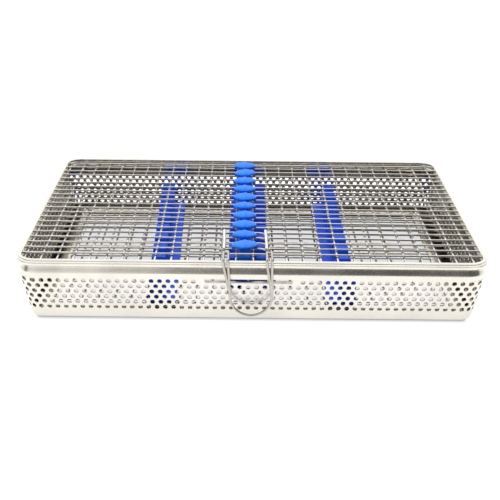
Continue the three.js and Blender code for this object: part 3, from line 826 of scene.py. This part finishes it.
def selvage_ring(outer, inner, bottom, top, side_share=1.0):
    """A flat ring with rounded edges, from an outer to an inner inset."""
    section = rounded_section((inner - outer) / 2, (top - bottom) / 2, (top - bottom) * ROUND_SHARE, 3)
    section = section + np.array([(inner + outer) / 2, (bottom + top) / 2])
    return carry_round(section, RING_COLUMNS, section[:, 0] * side_share)


def flare(distance, reach, amount):
    """How much a wire swells towards the ring: falls off as a bell curve with the distance from it."""
    return 1 + amount * np.exp(-(np.maximum(distance, 0) / reach) ** 2)


def weld_swell(position, crossings, thickness, amount):
    """A swelling at each crossing: a bell curve whose reach is a share of the wire's thickness."""
    gap = np.abs(position[:, None] - crossings[None]).min(1)
    return 1 + amount * np.exp(-(gap / (thickness * SWELL_SHARE)) ** 2)


def lid_long_y(number):
    """Y of a long wire of the lid, counted from the hinge side."""
    return LONG_OFFSET + ((LONG_WIRES - 1) / 2 - number) * LONG_PITCH


def lid_cross_x():
    """X of the cross wires, which stand closer left of the latch than right of it."""
    number = np.arange(CROSS_WIRES) - JOINT_WIRE
    return JOINT_WIRE_X + number * np.where(number < 0, CROSS_PITCH_LEFT, CROSS_PITCH_RIGHT)


def end_of_wire(across, half_along, half_across, radius):
    """How far a wire runs before it meets a rounded outline: less where it ends in a corner."""
    over = np.clip(np.abs(across) - (half_across - radius), 0, radius)
    return half_along - radius + np.sqrt(radius ** 2 - over ** 2)


def wire_layer(axis, places, crossings, half, height, layer, wire, seed, lift_seed=None, shape=None):
    """Parallel wires along an axis, swollen where they are welded and towards their ends.

    A wire's stray is smoothed noise, times one minus the sixth power of its share of the way to an end.
    """
    share = np.linspace(-1, 1, layer.points)
    radius = max(CORNER_RADIUS + half[1] - DEPTH / 2, LEAST_RADIUS)
    reach = end_of_wire(places, half[axis], half[1 - axis], radius)[:, None]
    way = share[None] * reach
    ease = 1 - share ** 6
    beside = places[:, None] + even_noise(seed, way.shape, layer.smooth) * wire.wander * ease
    if lift_seed is not None:
        height = height + even_noise(lift_seed, way.shape, layer.smooth) * wire.wander * LIFT_SHARE * ease
    paths = points_of(way, beside, height) if axis == 0 else points_of(beside, way, height)
    if shape is not None:
        paths = shape(paths)
    thick = wire.thickness / 2
    swell = weld_swell(share * half[axis], crossings, wire.thickness, wire.weld_swell)
    width = thick * swell[None] * flare(reach - np.abs(way) - WELD, layer.flare_reach, layer.flare)
    return straight_wires(paths, width, thick, (axis, 1 - axis, 0))


def mesh_wires(cross_x, long_y, cross_z, long_z, inset, side_inset, wire, seed, long_shape=None):
    """Cross wires below and long wires above, welded where they cross."""
    half = (LENGTH / 2 - side_inset, DEPTH / 2 - inset)
    return [wire_layer(1, cross_x, long_y, half, cross_z, CROSS_LAYER, wire, seed),
            wire_layer(0, long_y, cross_x, half, long_z, LONG_LAYER, wire, seed + 1, seed + 2, long_shape)]


class CASSETTE_OT_floor(bpy.types.Operator):
    """Build the wire mesh floor that the racks are plugged into"""

    bl_idname = "cassette.floor"
    bl_label = "Floor mesh"

    def execute(self, context):
        wire = context.scene.cassette_wire
        low, high = box_mm("floor_mesh")
        outer = LENGTH / 2 - high[0]
        inner = outer + FLOOR_SELVAGE
        count_x = int((LENGTH / 2 - inner - FLOOR_CLEAR) / FLOOR_PITCH_X + 0.5)
        count_y = int((DEPTH / 2 - inner - FLOOR_CLEAR) / LONG_PITCH)
        cross_x = (np.arange(-count_x, count_x) + 0.5) * FLOOR_PITCH_X
        long_y = np.arange(-count_y, count_y + 1) * LONG_PITCH
        cross_z = low[2] + FLOOR_CROSS_SEAT
        long_z = high[2] - FLOOR_LONG_SEAT
        shells = mesh_wires(cross_x, long_y, cross_z, long_z, inner - WELD, inner - WELD, wire, 31)
        top = FLOOR_LIP_HEIGHT + FLOOR_SELVAGE_HEIGHT
        shells.append(selvage_ring(outer, inner, FLOOR_LIP_HEIGHT, top))
        add_piece("floor_wires", shells, "tray", "bright_wire", "floor_mesh")
        return {"FINISHED"}


def dip_at_stays(paths):
    """Long wires dip and bow forwards where they pass under the stays behind the latch."""
    x = paths[..., 0]
    number = np.arange(paths.shape[0])[:, None]
    under = (number >= UNDER_STAYS[0]) & (number <= UNDER_STAYS[1])
    for stay in STAY_X:
        near = np.where(under, np.exp(-((x - stay) / DIP_REACH) ** 2), 0)
        paths[..., 1] -= near * DIP_FORWARD
        paths[..., 2] -= near * DIP_DOWN
    return paths


class CASSETTE_OT_lid_mesh(bpy.types.Operator):
    """Build the lid's wire mesh with the two stays welded behind the latch"""

    bl_idname = "cassette.lid_mesh"
    bl_label = "Lid mesh"

    def execute(self, context):
        wire = context.scene.cassette_wire
        cross_z = box_mm("lid_mesh")[0][2] + CROSS_SEAT
        long_z = cross_z + wire.thickness * LAYER_SHARE
        long_y = lid_long_y(np.arange(LONG_WIRES))
        inset, side_inset = FRAME_WIDTH - WELD, FRAME_WIDTH * SIDE_SHARE - WELD
        shells = mesh_wires(lid_cross_x(), long_y, cross_z, long_z, inset, side_inset, wire, 11, dip_at_stays)
        bottom = (cross_z + long_z - LID_SELVAGE_HEIGHT) / 2
        top = bottom + LID_SELVAGE_HEIGHT
        inner = FRAME_WIDTH - LID_SELVAGE_SETIN
        shells.append(selvage_ring(LID_SELVAGE_EDGE, inner, bottom, top, SIDE_SHARE))
        front = lid_long_y(LONG_WIRES - 1) + STAY_SETBACK
        for x in STAY_X:
            along = np.linspace(0, 1, 24)[:, None]
            path = np.array([x, front, long_z + STAY_RISE]) + along * np.array([0.0, STAY_LENGTH, 0.0])
            path[:, 0] += STAY_BEND * np.sin(along[:, 0] * 5)
            shells.append(tube(path, STAY_RADIUS))
        add_piece("lid_wires", shells, "lid", "bright_wire", "lid_mesh")
        return {"FINISHED"}


class CASSETTE_OT_lid_frame(bpy.types.Operator):
    """Build the lid's hem of folded sheet"""

    bl_idname = "cassette.lid_frame"
    bl_label = "Lid frame"

    def execute(self, context):
        low, high = box_mm("lid_frame")
        bottom, top = low[2], high[2]
        edge, sheet = FRAME_ROUND, FRAME_SHEET
        tip = sheet / 2
        inner = FRAME_WIDTH - tip
        crease = (bottom + top) / 2
        fold = np.array([(0.14, 0.3), (0.3, 0.12), (0.34, 0), (0.22, -0.12), (0, -0.3)])
        profile = np.concatenate([
            arc((edge + HEM_BULGE, top - edge), edge, 90, 180, 6),
            fold + np.array([0, crease]),
            arc((edge, bottom + edge), edge, 180, 270, 6),
            arc((inner, bottom + tip), tip, -90, 90, 6),
            [(sheet, bottom + sheet), (sheet, top - sheet)],
            arc((inner, top - tip), tip, -90, 90, 6),
        ])
        shells = [carry_round(profile, HEM_COLUMNS, profile[:, 0] * SIDE_SHARE)]
        add_piece("lid_hem", shells, "lid", "electropolished_sheet", "lid_frame")
        return {"FINISHED"}


# Silicone


def notch_depths(y, middles):
    """Depth of the notches along a rack: level floors, with flanks eased by three squares less two cubes."""
    gap = np.abs(y[:, None] - middles[None]).min(1)
    share = np.clip((2 * gap - NOTCH_FLOOR) / (NOTCH_WIDTH - NOTCH_FLOOR), 0, 1)
    return NOTCH_DEPTH * (1 - share ** 2 * (3 - 2 * share))


def rack_shell(low, high, wall_left, wall_right, flange_top, skew):
    """A rack: an L or a block section along Y, whose wall top follows the notches.

    Each section point has a fixed height and a share of the wall top's fall at that place. The skew
    is how far the back end leans to the right of the front end.
    """
    middles = LONG_OFFSET + (np.arange(HEADS) - (HEADS - 1) / 2) * RACK_PITCH
    middles = middles[middles - NOTCH_WIDTH / 2 > low[1]]
    edge, small = 0.7, 0.4
    top, base = high[2], low[2]
    wall = np.concatenate([arc((wall_left + edge, top - edge), edge, 180, 90, 4),
                           arc((wall_right - edge, top - edge), edge, 90, 0, 4)])
    rows = [(low[0] + small, base, 0), (low[0], base + small, 0)]
    if wall_left > low[0] + edge:
        rows += [(low[0], flange_top - small, 0), (low[0] + small, flange_top, 0), (wall_left, flange_top, 0)]
    rows += [(x, z, 1) for x, z in wall]
    if wall_right < high[0] - edge:
        rows += [(wall_right, flange_top, 0), (high[0] - small, flange_top, 0)]
        rows += [(high[0], flange_top - small, 0)]
    rows += [(high[0], base + small, 0), (high[0] - small, base, 0)]
    section = np.array(rows)
    step = RACK_STEP
    ends = np.array([0.0, 0.25, 2 * step])
    between = np.arange(low[1] + 3 * step, high[1] - 3 * step, step)
    y = np.concatenate([low[1] + ends, between, high[1] - ends[::-1]])
    eased = [low[1], low[1] + 2 * step, high[1] - 2 * step, high[1]]
    fall = notch_depths(y, middles) + np.interp(y, eased, [END_DROP, 0, 0, END_DROP])
    x = section[:, 0] + skew * ((y - low[1]) / (high[1] - low[1]))[:, None]
    return capped(points_of(x, y[:, None], section[:, 1] - section[:, 2] * fall[:, None]))


def plug_shell(x, y, bottom, base):
    """A plug under a rack: a round button below the floor wires and a stem up to the rack."""
    profile = np.array([(0.3, 0.0), (2.1, 0.1), (2.55, 0.6), (2.5, 1.3), (2.0, 1.75), (1.25, 1.9),
                        (1.15, 2.4), (1.15, base - bottom + 0.2)])
    radius, angle = profile[:, :1], turn_angles(20)
    return capped(points_of(x + radius * np.cos(angle), y + radius * np.sin(angle), bottom + profile[:, 1:]))


class CASSETTE_OT_racks(bpy.types.Operator):
    """Build the toothed silicone racks"""

    bl_idname = "cassette.racks"
    bl_label = "Racks"

    def execute(self, context):
        for node, rack in RACKS.items():
            low, high = box_mm(node)
            bottom, base = low[2], high[2] - RACK_HEIGHT
            on_left = rack.wall_side == "left"
            (low if on_left else high)[0] = rack.edge
            low[2] = base
            wall_left = rack.edge if on_left else rack.edge - rack.wall_width
            wall_right = wall_left + rack.wall_width
            shells = [rack_shell(low, high, wall_left, wall_right, base + FLANGE_THICKNESS, rack.skew)]
            shells += [plug_shell(rack.plug_x, (cell + 0.5) * LONG_PITCH, bottom, base)
                       for cell in rack.plug_cells]
            add_piece(f"toothed_{node}", shells, "tray", "rack_silicone", node)
        return {"FINISHED"}


def head_shell(x, y, bottom, size, tilt, lean):
    """A lens shaped head: its half width falls from the middle to a blunt tip at each end.

    The half width falls off with the share along to the power of 1.7 down to two fifths of its middle,
    and is rounded off at the tip by one minus the share to the power of eight. The top follows a flattened
    ellipse over it. A thin seam stands up across the middle, from back to front.
    """
    along = np.sin(np.linspace(-math.pi / 2, math.pi / 2, 41)) * 0.985
    around = turn_angles(36)
    tip = np.sqrt(1 - np.abs(along) ** 8)
    fall = ((0.4 + 0.6 * (1 - np.abs(along) ** 1.7)) * tip)[:, None]
    swing, rise = np.cos(around), np.sin(around)
    half_y = HEAD_DEPTH * size / 2 * fall
    across = half_y * np.sign(swing) * np.abs(swing) ** 0.85
    over = HEAD_HEIGHT * HEAD_TOP_SHARE * (0.3 + 0.7 * fall) * tip[:, None] * np.maximum(rise, 0) ** 0.8
    under = HEAD_HEIGHT * (1 - HEAD_TOP_SHARE) * tip[:, None] * np.maximum(-rise, 0) ** 0.55
    offset = along[:, None] * HEAD_LENGTH * size / 2
    near_seam = np.exp(-((offset + 0.2 * np.sin(across)) / SEAM_REACH) ** 2)
    seam = SEAM_RISE * near_seam * np.maximum(rise, 0) ** 0.3
    local = points_of(offset, across, over - under + seam)
    turn = Matrix.Rotation(tilt, 3, "X") @ Matrix.Rotation(lean, 3, "Y")
    points = local @ np.array(turn).T
    points[..., 2] += bottom - points[..., 2].min()
    points[..., 0] += x
    points[..., 1] += y
    return capped(points)


class CASSETTE_OT_hold_down(bpy.types.Operator):
    """Build the hold-down strip: a bar under the lid mesh, stems through it and heads on top"""

    bl_idname = "cassette.hold_down"
    bl_label = "Hold-down strip"

    def execute(self, context):
        low, high = box_mm("hold_down_strip")
        middle = (low[0] + high[0]) / 2
        left, right = middle - STRIP_WIDTH / 2, middle + STRIP_WIDTH / 2
        stem_left, stem_right = middle - STEM_WIDTH / 2, middle + STEM_WIDTH / 2
        bar_top = box_mm("lid_mesh")[0][2] - RUNNING_GAP
        head_bottom = high[2] - HEAD_ROOM
        shells = [rounded_block((left, low[1], low[2]), (right, high[1], bar_top), STRIP_ROUND, axis=1)]
        chance = np.random.default_rng(7)
        for number in range(HEADS):
            y = lid_long_y(2 * number + 1)
            for near in (y - STEM_CLEAR - STEM_THICKNESS, y + STEM_CLEAR):
                stem_low = (stem_left, near, bar_top - STEM_SINK)
                stem_high = (stem_right, near + STEM_THICKNESS, head_bottom + STEM_RISE)
                shells.append(rounded_block(stem_low, stem_high, STEM_ROUND))
            size = 1.0 if number == HEADS - 1 else chance.uniform(*HEAD_SIZES)
            tilt, lean, shift = (chance.uniform(*span) for span in (HEAD_TILTS, HEAD_LEANS, HEAD_SHIFTS))
            shells.append(head_shell(middle + shift, y, head_bottom, size, tilt, lean))
        add_piece("hold_down_heads", shells, "lid", "head_silicone", "hold_down_strip", 50)
        return {"FINISHED"}


# Latch


def over_frame(x, start_y, top_z, front_y):
    """A strand from behind the lid frame, over it, and round a quarter bend to hang in front."""
    quarter = np.radians([0, 30, 60, 90])
    y = front_y + BAIL_BEND * (1 - np.sin(quarter))
    z = top_z - BAIL_BEND * (1 - np.cos(quarter))
    return points_of(x, [start_y, *y], [top_z, *z])


class CASSETTE_OT_bail(bpy.types.Operator):
    """Build the sprung wire bail that latches the lid"""

    bl_idname = "cassette.bail"
    bl_label = "Latch bail"

    def execute(self, context):
        radius = context.scene.cassette_wire.bail_thickness / 2
        low, high = box_mm("latch_bail")
        front_y, top_z = low[1] + radius, high[2] - radius
        pivot_y, pivot_z = lid_long_y(LONG_WIRES - 1), box_mm("lid_mesh")[0][2] + HOOK_RISE
        start_y = pivot_y - TURN_SETBACK
        bottom = low[2] + radius + LOOP_RISE
        left, right = (over_frame(x, start_y, top_z, front_y) for x in LOOP_TOPS)
        turn = np.linspace(0, math.pi, 17)
        loop_z = bottom + LOOP_RADIUS * (1 - np.sin(turn))
        loop = points_of(LOOP_X - LOOP_RADIUS * np.cos(turn), front_y, loop_z)
        shells = [tube(smooth_path(np.concatenate([left, loop, right[::-1]])), radius)]
        for hook_x, top_x, side_x in zip(STAY_X, LOOP_TOPS, (LOOP_X - LOOP_RADIUS, LOOP_X + LOOP_RADIUS)):
            angle = np.linspace(*HOOK_SHARES, 9) * 2 * math.pi
            hook_y = pivot_y + HOOK_RADIUS * np.sin(angle)
            hook = points_of(hook_x, hook_y, pivot_z + HOOK_RADIUS * np.cos(angle))
            bend = over_frame(hook_x, start_y, top_z, front_y)
            foot = np.array([[side_x + (top_x - side_x) * TURNS_MEET_SHARE, front_y, TURNS_MEET_Z]])
            shells.append(tube(smooth_path(np.concatenate([hook, bend, foot])), radius))
            link = np.linspace([hook_x, start_y - radius, top_z], [top_x, start_y - radius, top_z], 8)
            shells.append(tube(link, radius, reference=(0, 1, 0)))
        add_piece("latch_wire", shells, "latch", "spring_wire", "latch_bail")
        return {"FINISHED"}


# Hinges


def barrel(x, width, y, z, outer, inner):
    """A short tube along X: a rounded section turned about the hinge axis."""
    section = rounded_section(width / 2, (outer - inner) / 2, BARREL_ROUND, 3)
    angle = turn_angles(32)[:, None]
    reach = (outer + inner) / 2 + section[:, 1]
    points = points_of(x + section[:, 0], y + reach * np.cos(angle), z + reach * np.sin(angle))
    return Shell(points, grid_faces(len(angle), len(section), True, True))


def strap(low, high):
    """A strap of sheet between two corners, with eased edges."""
    return rounded_block(low, high, STRAP_ROUND, steps=2)


class CASSETTE_OT_hinges(bpy.types.Operator):
    """Build both hinges: lid leaves, tray brackets and pins"""

    bl_idname = "cassette.hinges"
    bl_label = "Hinges"

    def execute(self, context):
        for name in ("left", "right"):
            pin_low, pin_high = box_mm(f"hinge_pin_{name}")
            x, y, z = (pin_low + pin_high) / 2
            low, high = box_mm(f"hinge_leaf_{name}")
            leaf = [barrel(x, high[0] - low[0], y, z, KNUCKLE_RADIUS, KNUCKLE_BORE),
                    strap((low[0], low[1] - LEAF_LAP, z - RUNNING_GAP), (high[0], low[1] + STRAP, high[2]))]
            add_piece(f"lid_leaf_{name}", leaf, "lid", "electropolished_sheet", f"hinge_leaf_{name}")
            low, high = box_mm(f"hinge_bracket_{name}")
            face = low[1] + STRAP
            plate_top = z - KNUCKLE_RADIUS - RUNNING_GAP
            wall = low[1] - wall_inset(low[2]) - SHEET / 2
            lug_low = (low[0] + LUG_SETIN, wall, low[2])
            lug_high = (high[0] - LUG_SETIN, low[1] + RUNNING_GAP, low[2] + LUG_HEIGHT)
            bracket = [strap(low, (high[0], face, plate_top)),
                       rounded_block(lug_low, lug_high, LUG_ROUND, axis=0)]
            for left in (low[0], high[0] - EAR_WIDTH):
                bracket.append(barrel(left + EAR_WIDTH / 2, EAR_WIDTH, y, z, KNUCKLE_RADIUS, KNUCKLE_BORE))
                bracket.append(strap((left, low[1], plate_top - EAR_LAP), (left + EAR_WIDTH, face, z)))
            node = f"hinge_bracket_{name}"
            add_piece(f"tray_bracket_{name}", bracket, "tray", "electropolished_sheet", node)
            left, right = pin_low[0] + PIN_SETIN, pin_high[0] - PIN_SETIN
            pin = [tube(np.linspace([left, y, z], [right, y, z], 12), PIN_RADIUS, 16, (0, 1, 0))]
            for middle in (pin_low[0] + PIN_HEAD_LENGTH / 2, pin_high[0] - PIN_HEAD_LENGTH / 2):
                pin.append(barrel(middle, PIN_HEAD_LENGTH, y, z, PIN_HEAD_RADIUS, PIN_RADIUS / 2))
            add_piece(f"pin_{name}", pin, "tray", "bright_wire", f"hinge_pin_{name}")
        return {"FINISHED"}


# Stage


# The camera's angles in radians, and its place in millimetres from the point that it turns about
CAMERA_ELEVATION = 0.40192
CAMERA_YAW = 0.00905
CAMERA_ROLL = 0.0139
CAMERA_DISTANCE = 493.36
CAMERA_RIGHT = 1.573
CAMERA_UP = -22.306
CAMERA_FOCAL_PIXELS = 1001.8
PHOTO_PIXELS = 500
SENSOR = 36.0
AIM = (-2.15, 1.8, 29.8)

# Each card's corner and two edges in metres, and the setting that holds its strength
CARDS = {
    "back_card": ((-2.6, 1.3, 0.02), (5.2, 0, 0), (0, 0, 1.5), "back"),
    "left_card": ((-1.4, -0.5, 0.02), (0, 1.7, 0), (0, 0, 0.9), "sides"),
    "right_card": ((1.4, -0.5, 0.02), (0, 1.7, 0), (0, 0, 0.9), "sides"),
    "front_card": ((-1.6, -1.3, 0.03), (1.45, 0, 0), (0, 0, 0.5), "front"),
    "top_card": ((-1.3, -1.1, 1.1), (2.6, 0, 0), (0, 2.3, 0), "above"),
}
# Each light's place, the point that it faces and its side in metres, and the setting of its power
LIGHTS = {
    "top_light": ((-0.1, 0.05, 0.8), (0, 0, 0), 0.45, "key"),
    "left_light": ((-0.8, -0.15, 0.35), (0, 0, 0.01), 0.5, "fill"),
}
FLOOR_REACH = 6.0
FLOOR_DROP = 0.0002

# The table's greys, and its glow in what mirrors it; the shade grey, glow and tint paint the shadow under the
# tray
TABLE_GREY = 0.93
MIRRORED_GREY = 0.27
MIRRORED_GLOW = 0.92
SHADE_GREY = 0.1
SHADE_GLOW = 0.7
SHADE_TINT = (0.93, 0.96, 1.0, 1)


def place_camera():
    """The photograph's view: a turn and roll about the aim point, seen from in front and above."""
    fall = CAMERA_ELEVATION
    forward = Vector((0, math.cos(fall), -math.sin(fall)))
    up = Vector((0, math.sin(fall), math.cos(fall)))
    right = Vector((1, 0, 0))
    place = -forward * CAMERA_DISTANCE + right * CAMERA_RIGHT + up * CAMERA_UP
    facing = Matrix((right, up, -forward)).transposed()
    turn = Matrix.Rotation(-CAMERA_YAW, 3, "Z")
    camera = bpy.data.cameras.new("camera")
    camera.sensor_width = SENSOR
    camera.lens = CAMERA_FOCAL_PIXELS * SENSOR / PHOTO_PIXELS
    camera.clip_start, camera.clip_end = 0.01, 20
    holder = bpy.data.objects.new("camera", camera)
    bpy.context.scene.collection.objects.link(holder)
    matrix = (turn @ facing @ Matrix.Rotation(CAMERA_ROLL, 3, "Z")).to_4x4()
    matrix.translation = (turn @ place + Vector(AIM) + Vector(tray_middle)) * MM
    holder.matrix_world = matrix
    bpy.context.scene.camera = holder


def area_light(name, place, aim, size, power):
    """A soft square light at a place, in metres, turned to a point."""
    lamp = bpy.data.lights.new(name, "AREA")
    lamp.shape = "SQUARE"
    lamp.size = size
    lamp.energy = power
    holder = bpy.data.objects.new(name, lamp)
    bpy.context.scene.collection.objects.link(holder)
    holder.location = place
    holder.rotation_euler = (Vector(aim) - Vector(place)).to_track_quat("-Z", "Y").to_euler()
    holder.visible_glossy = False


def stage_sheet(name, corner, first_edge, second_edge, material):
    """A flat sheet of the stage, from a corner and its two edges in metres."""
    corner, first, second = Vector(corner), Vector(first_edge), Vector(second_edge)
    mesh = bpy.data.meshes.new(name)
    corners = [corner, corner + first, corner + first + second, corner + second]
    mesh.from_pydata(corners, [], [(0, 1, 2, 3)])
    mesh.materials.append(material)
    sheet = bpy.data.objects.new(name, mesh)
    bpy.context.scene.collection.objects.link(sheet)


def card_glow(name, strength):
    """A bright card for the steel to mirror: the camera sees only the white beyond."""
    nodes = Nodes(bpy.data.materials.new(name))
    clear = nodes.make("ShaderNodeBsdfTransparent")
    return nodes.finished(nodes.blend(seen_by_camera(nodes), nodes.glow(WHITE, strength), clear))


def seen_by_camera(nodes):
    """One where the camera looks, and nought for light that falls on things or is mirrored in them."""
    return nodes.make("ShaderNodeLightPath", output="Is Camera Ray")


def painted_shadow_mask(nodes):
    """One on the table beneath the tray and nought around it, with a soft edge: where the shadow is painted.
    """
    middle = Vector((tray_middle[0], tray_middle[1], 0)) * -MM
    where = nodes.make("ShaderNodeTexCoord", output="Object")
    shifted = nodes.make("ShaderNodeVectorMath", {"operation": "ADD"}, {0: where, 1: middle})
    parts = nodes.make("ShaderNodeVectorMath", {"operation": "ABSOLUTE"}, {0: shifted})
    masks = []
    for number, half in enumerate((LENGTH / 2, DEPTH / 2)):
        edge = (half - WALL_TOP_INSET - WALL_DRAFT - FOOT_RADIUS / 2) * MM
        across = nodes.make("ShaderNodeSeparateXYZ", inputs={0: parts}, output=number)
        masks.append(nodes.spread(across, edge - MM, edge + MM, 1.0, 0.0))
    return masks[0] * masks[1]


def white_table():
    """A white table, which steel mirrors as the camera sees it, with a painted shadow under the tray: dark
    grey to light and mirrors, and a dimmer, bluish glow to the camera.
    """
    nodes = Nodes(bpy.data.materials.new("white_table"))
    paint, shade = nodes.matt(TABLE_GREY), nodes.matt(SHADE_GREY)
    lit = nodes.both(nodes.matt(MIRRORED_GREY), nodes.glow(WHITE, MIRRORED_GLOW))
    shaded = nodes.both(shade, nodes.glow(SHADE_TINT, SHADE_GLOW))
    mirrored = nodes.make("ShaderNodeLightPath", output="Is Glossy Ray")
    beneath = painted_shadow_mask(nodes)
    # Painted shadow: under the tray the table is dark grey to light and mirrors, and a dimmer tinted glow to
    # the camera.
    table = nodes.blend(beneath, nodes.blend(mirrored, paint, lit), shade)
    return nodes.finished(nodes.blend(seen_by_camera(nodes), table, nodes.blend(beneath, lit, shaded)))


def studio_world(sky):
    """Even light from all round, behind which the camera sees white."""
    nodes = Nodes(bpy.data.worlds.new("studio"))
    even = nodes.make("ShaderNodeBackground", inputs={"Color": WHITE, "Strength": sky})
    white = nodes.make("ShaderNodeBackground", inputs={"Color": WHITE, "Strength": 1.0})
    return nodes.finished(nodes.blend(seen_by_camera(nodes), even, white), "World")


class CASSETTE_OT_stage(bpy.types.Operator):
    """Make the floor, the lights and the camera"""

    bl_idname = "cassette.stage"
    bl_label = "Stage"

    def execute(self, context):
        studio = context.scene.cassette_studio
        corner, side = (-FLOOR_REACH, -FLOOR_REACH, -FLOOR_DROP), 2 * FLOOR_REACH
        stage_sheet("floor", corner, (side, 0, 0), (0, side, 0), white_table())
        context.scene.world = studio_world(studio.sky)
        for name, (place, aim, size, setting) in LIGHTS.items():
            area_light(name, place, aim, size, getattr(studio, setting))
        for name, (corner, first, second, setting) in CARDS.items():
            stage_sheet(name, corner, first, second, card_glow(name, getattr(studio, setting)))
        context.scene.view_settings.view_transform = "Standard"
        place_camera()
        return {"FINISHED"}


OPERATORS = (CASSETTE_OT_stage, CASSETTE_OT_tray, CASSETTE_OT_floor, CASSETTE_OT_racks, CASSETTE_OT_lid_frame,
             CASSETTE_OT_lid_mesh, CASSETTE_OT_hold_down, CASSETTE_OT_bail, CASSETTE_OT_hinges)
GROUPS = {"cassette_tray": CassetteTray, "cassette_wire": CassetteWire, "cassette_finish": CassetteFinish,
          "cassette_studio": CassetteStudio}


class CASSETTE_PT_panel(bpy.types.Panel):
    """Lists the settings and the steps in the sidebar"""

    bl_label = "Cassette"
    bl_idname = "CASSETTE_PT_panel"
    bl_space_type = "VIEW_3D"
    bl_region_type = "UI"
    bl_category = "Cassette"

    def draw(self, context):
        for name, group in GROUPS.items():
            column = self.layout.column(align=True)
            for setting in group.__annotations__:
                column.prop(getattr(context.scene, name), setting)
        for operator in OPERATORS:
            self.layout.operator(operator.bl_idname)


def register():
    for kind in (*GROUPS.values(), *OPERATORS, CASSETTE_PT_panel):
        bpy.utils.register_class(kind)
    for name, group in GROUPS.items():
        setattr(bpy.types.Scene, name, bpy.props.PointerProperty(type=group))


def unregister():
    for name in GROUPS:
        delattr(bpy.types.Scene, name)
    for kind in reversed((*GROUPS.values(), *OPERATORS, CASSETTE_PT_panel)):
        bpy.utils.unregister_class(kind)


def main():
    register()
    bpy.ops.cassette.stage()
    bpy.ops.cassette.tray()
    bpy.ops.cassette.floor()
    bpy.ops.cassette.racks()
    bpy.ops.cassette.lid_frame()
    bpy.ops.cassette.lid_mesh()
    bpy.ops.cassette.hold_down()
    bpy.ops.cassette.bail()
    bpy.ops.cassette.hinges()


if __name__ == "__main__":
    main()
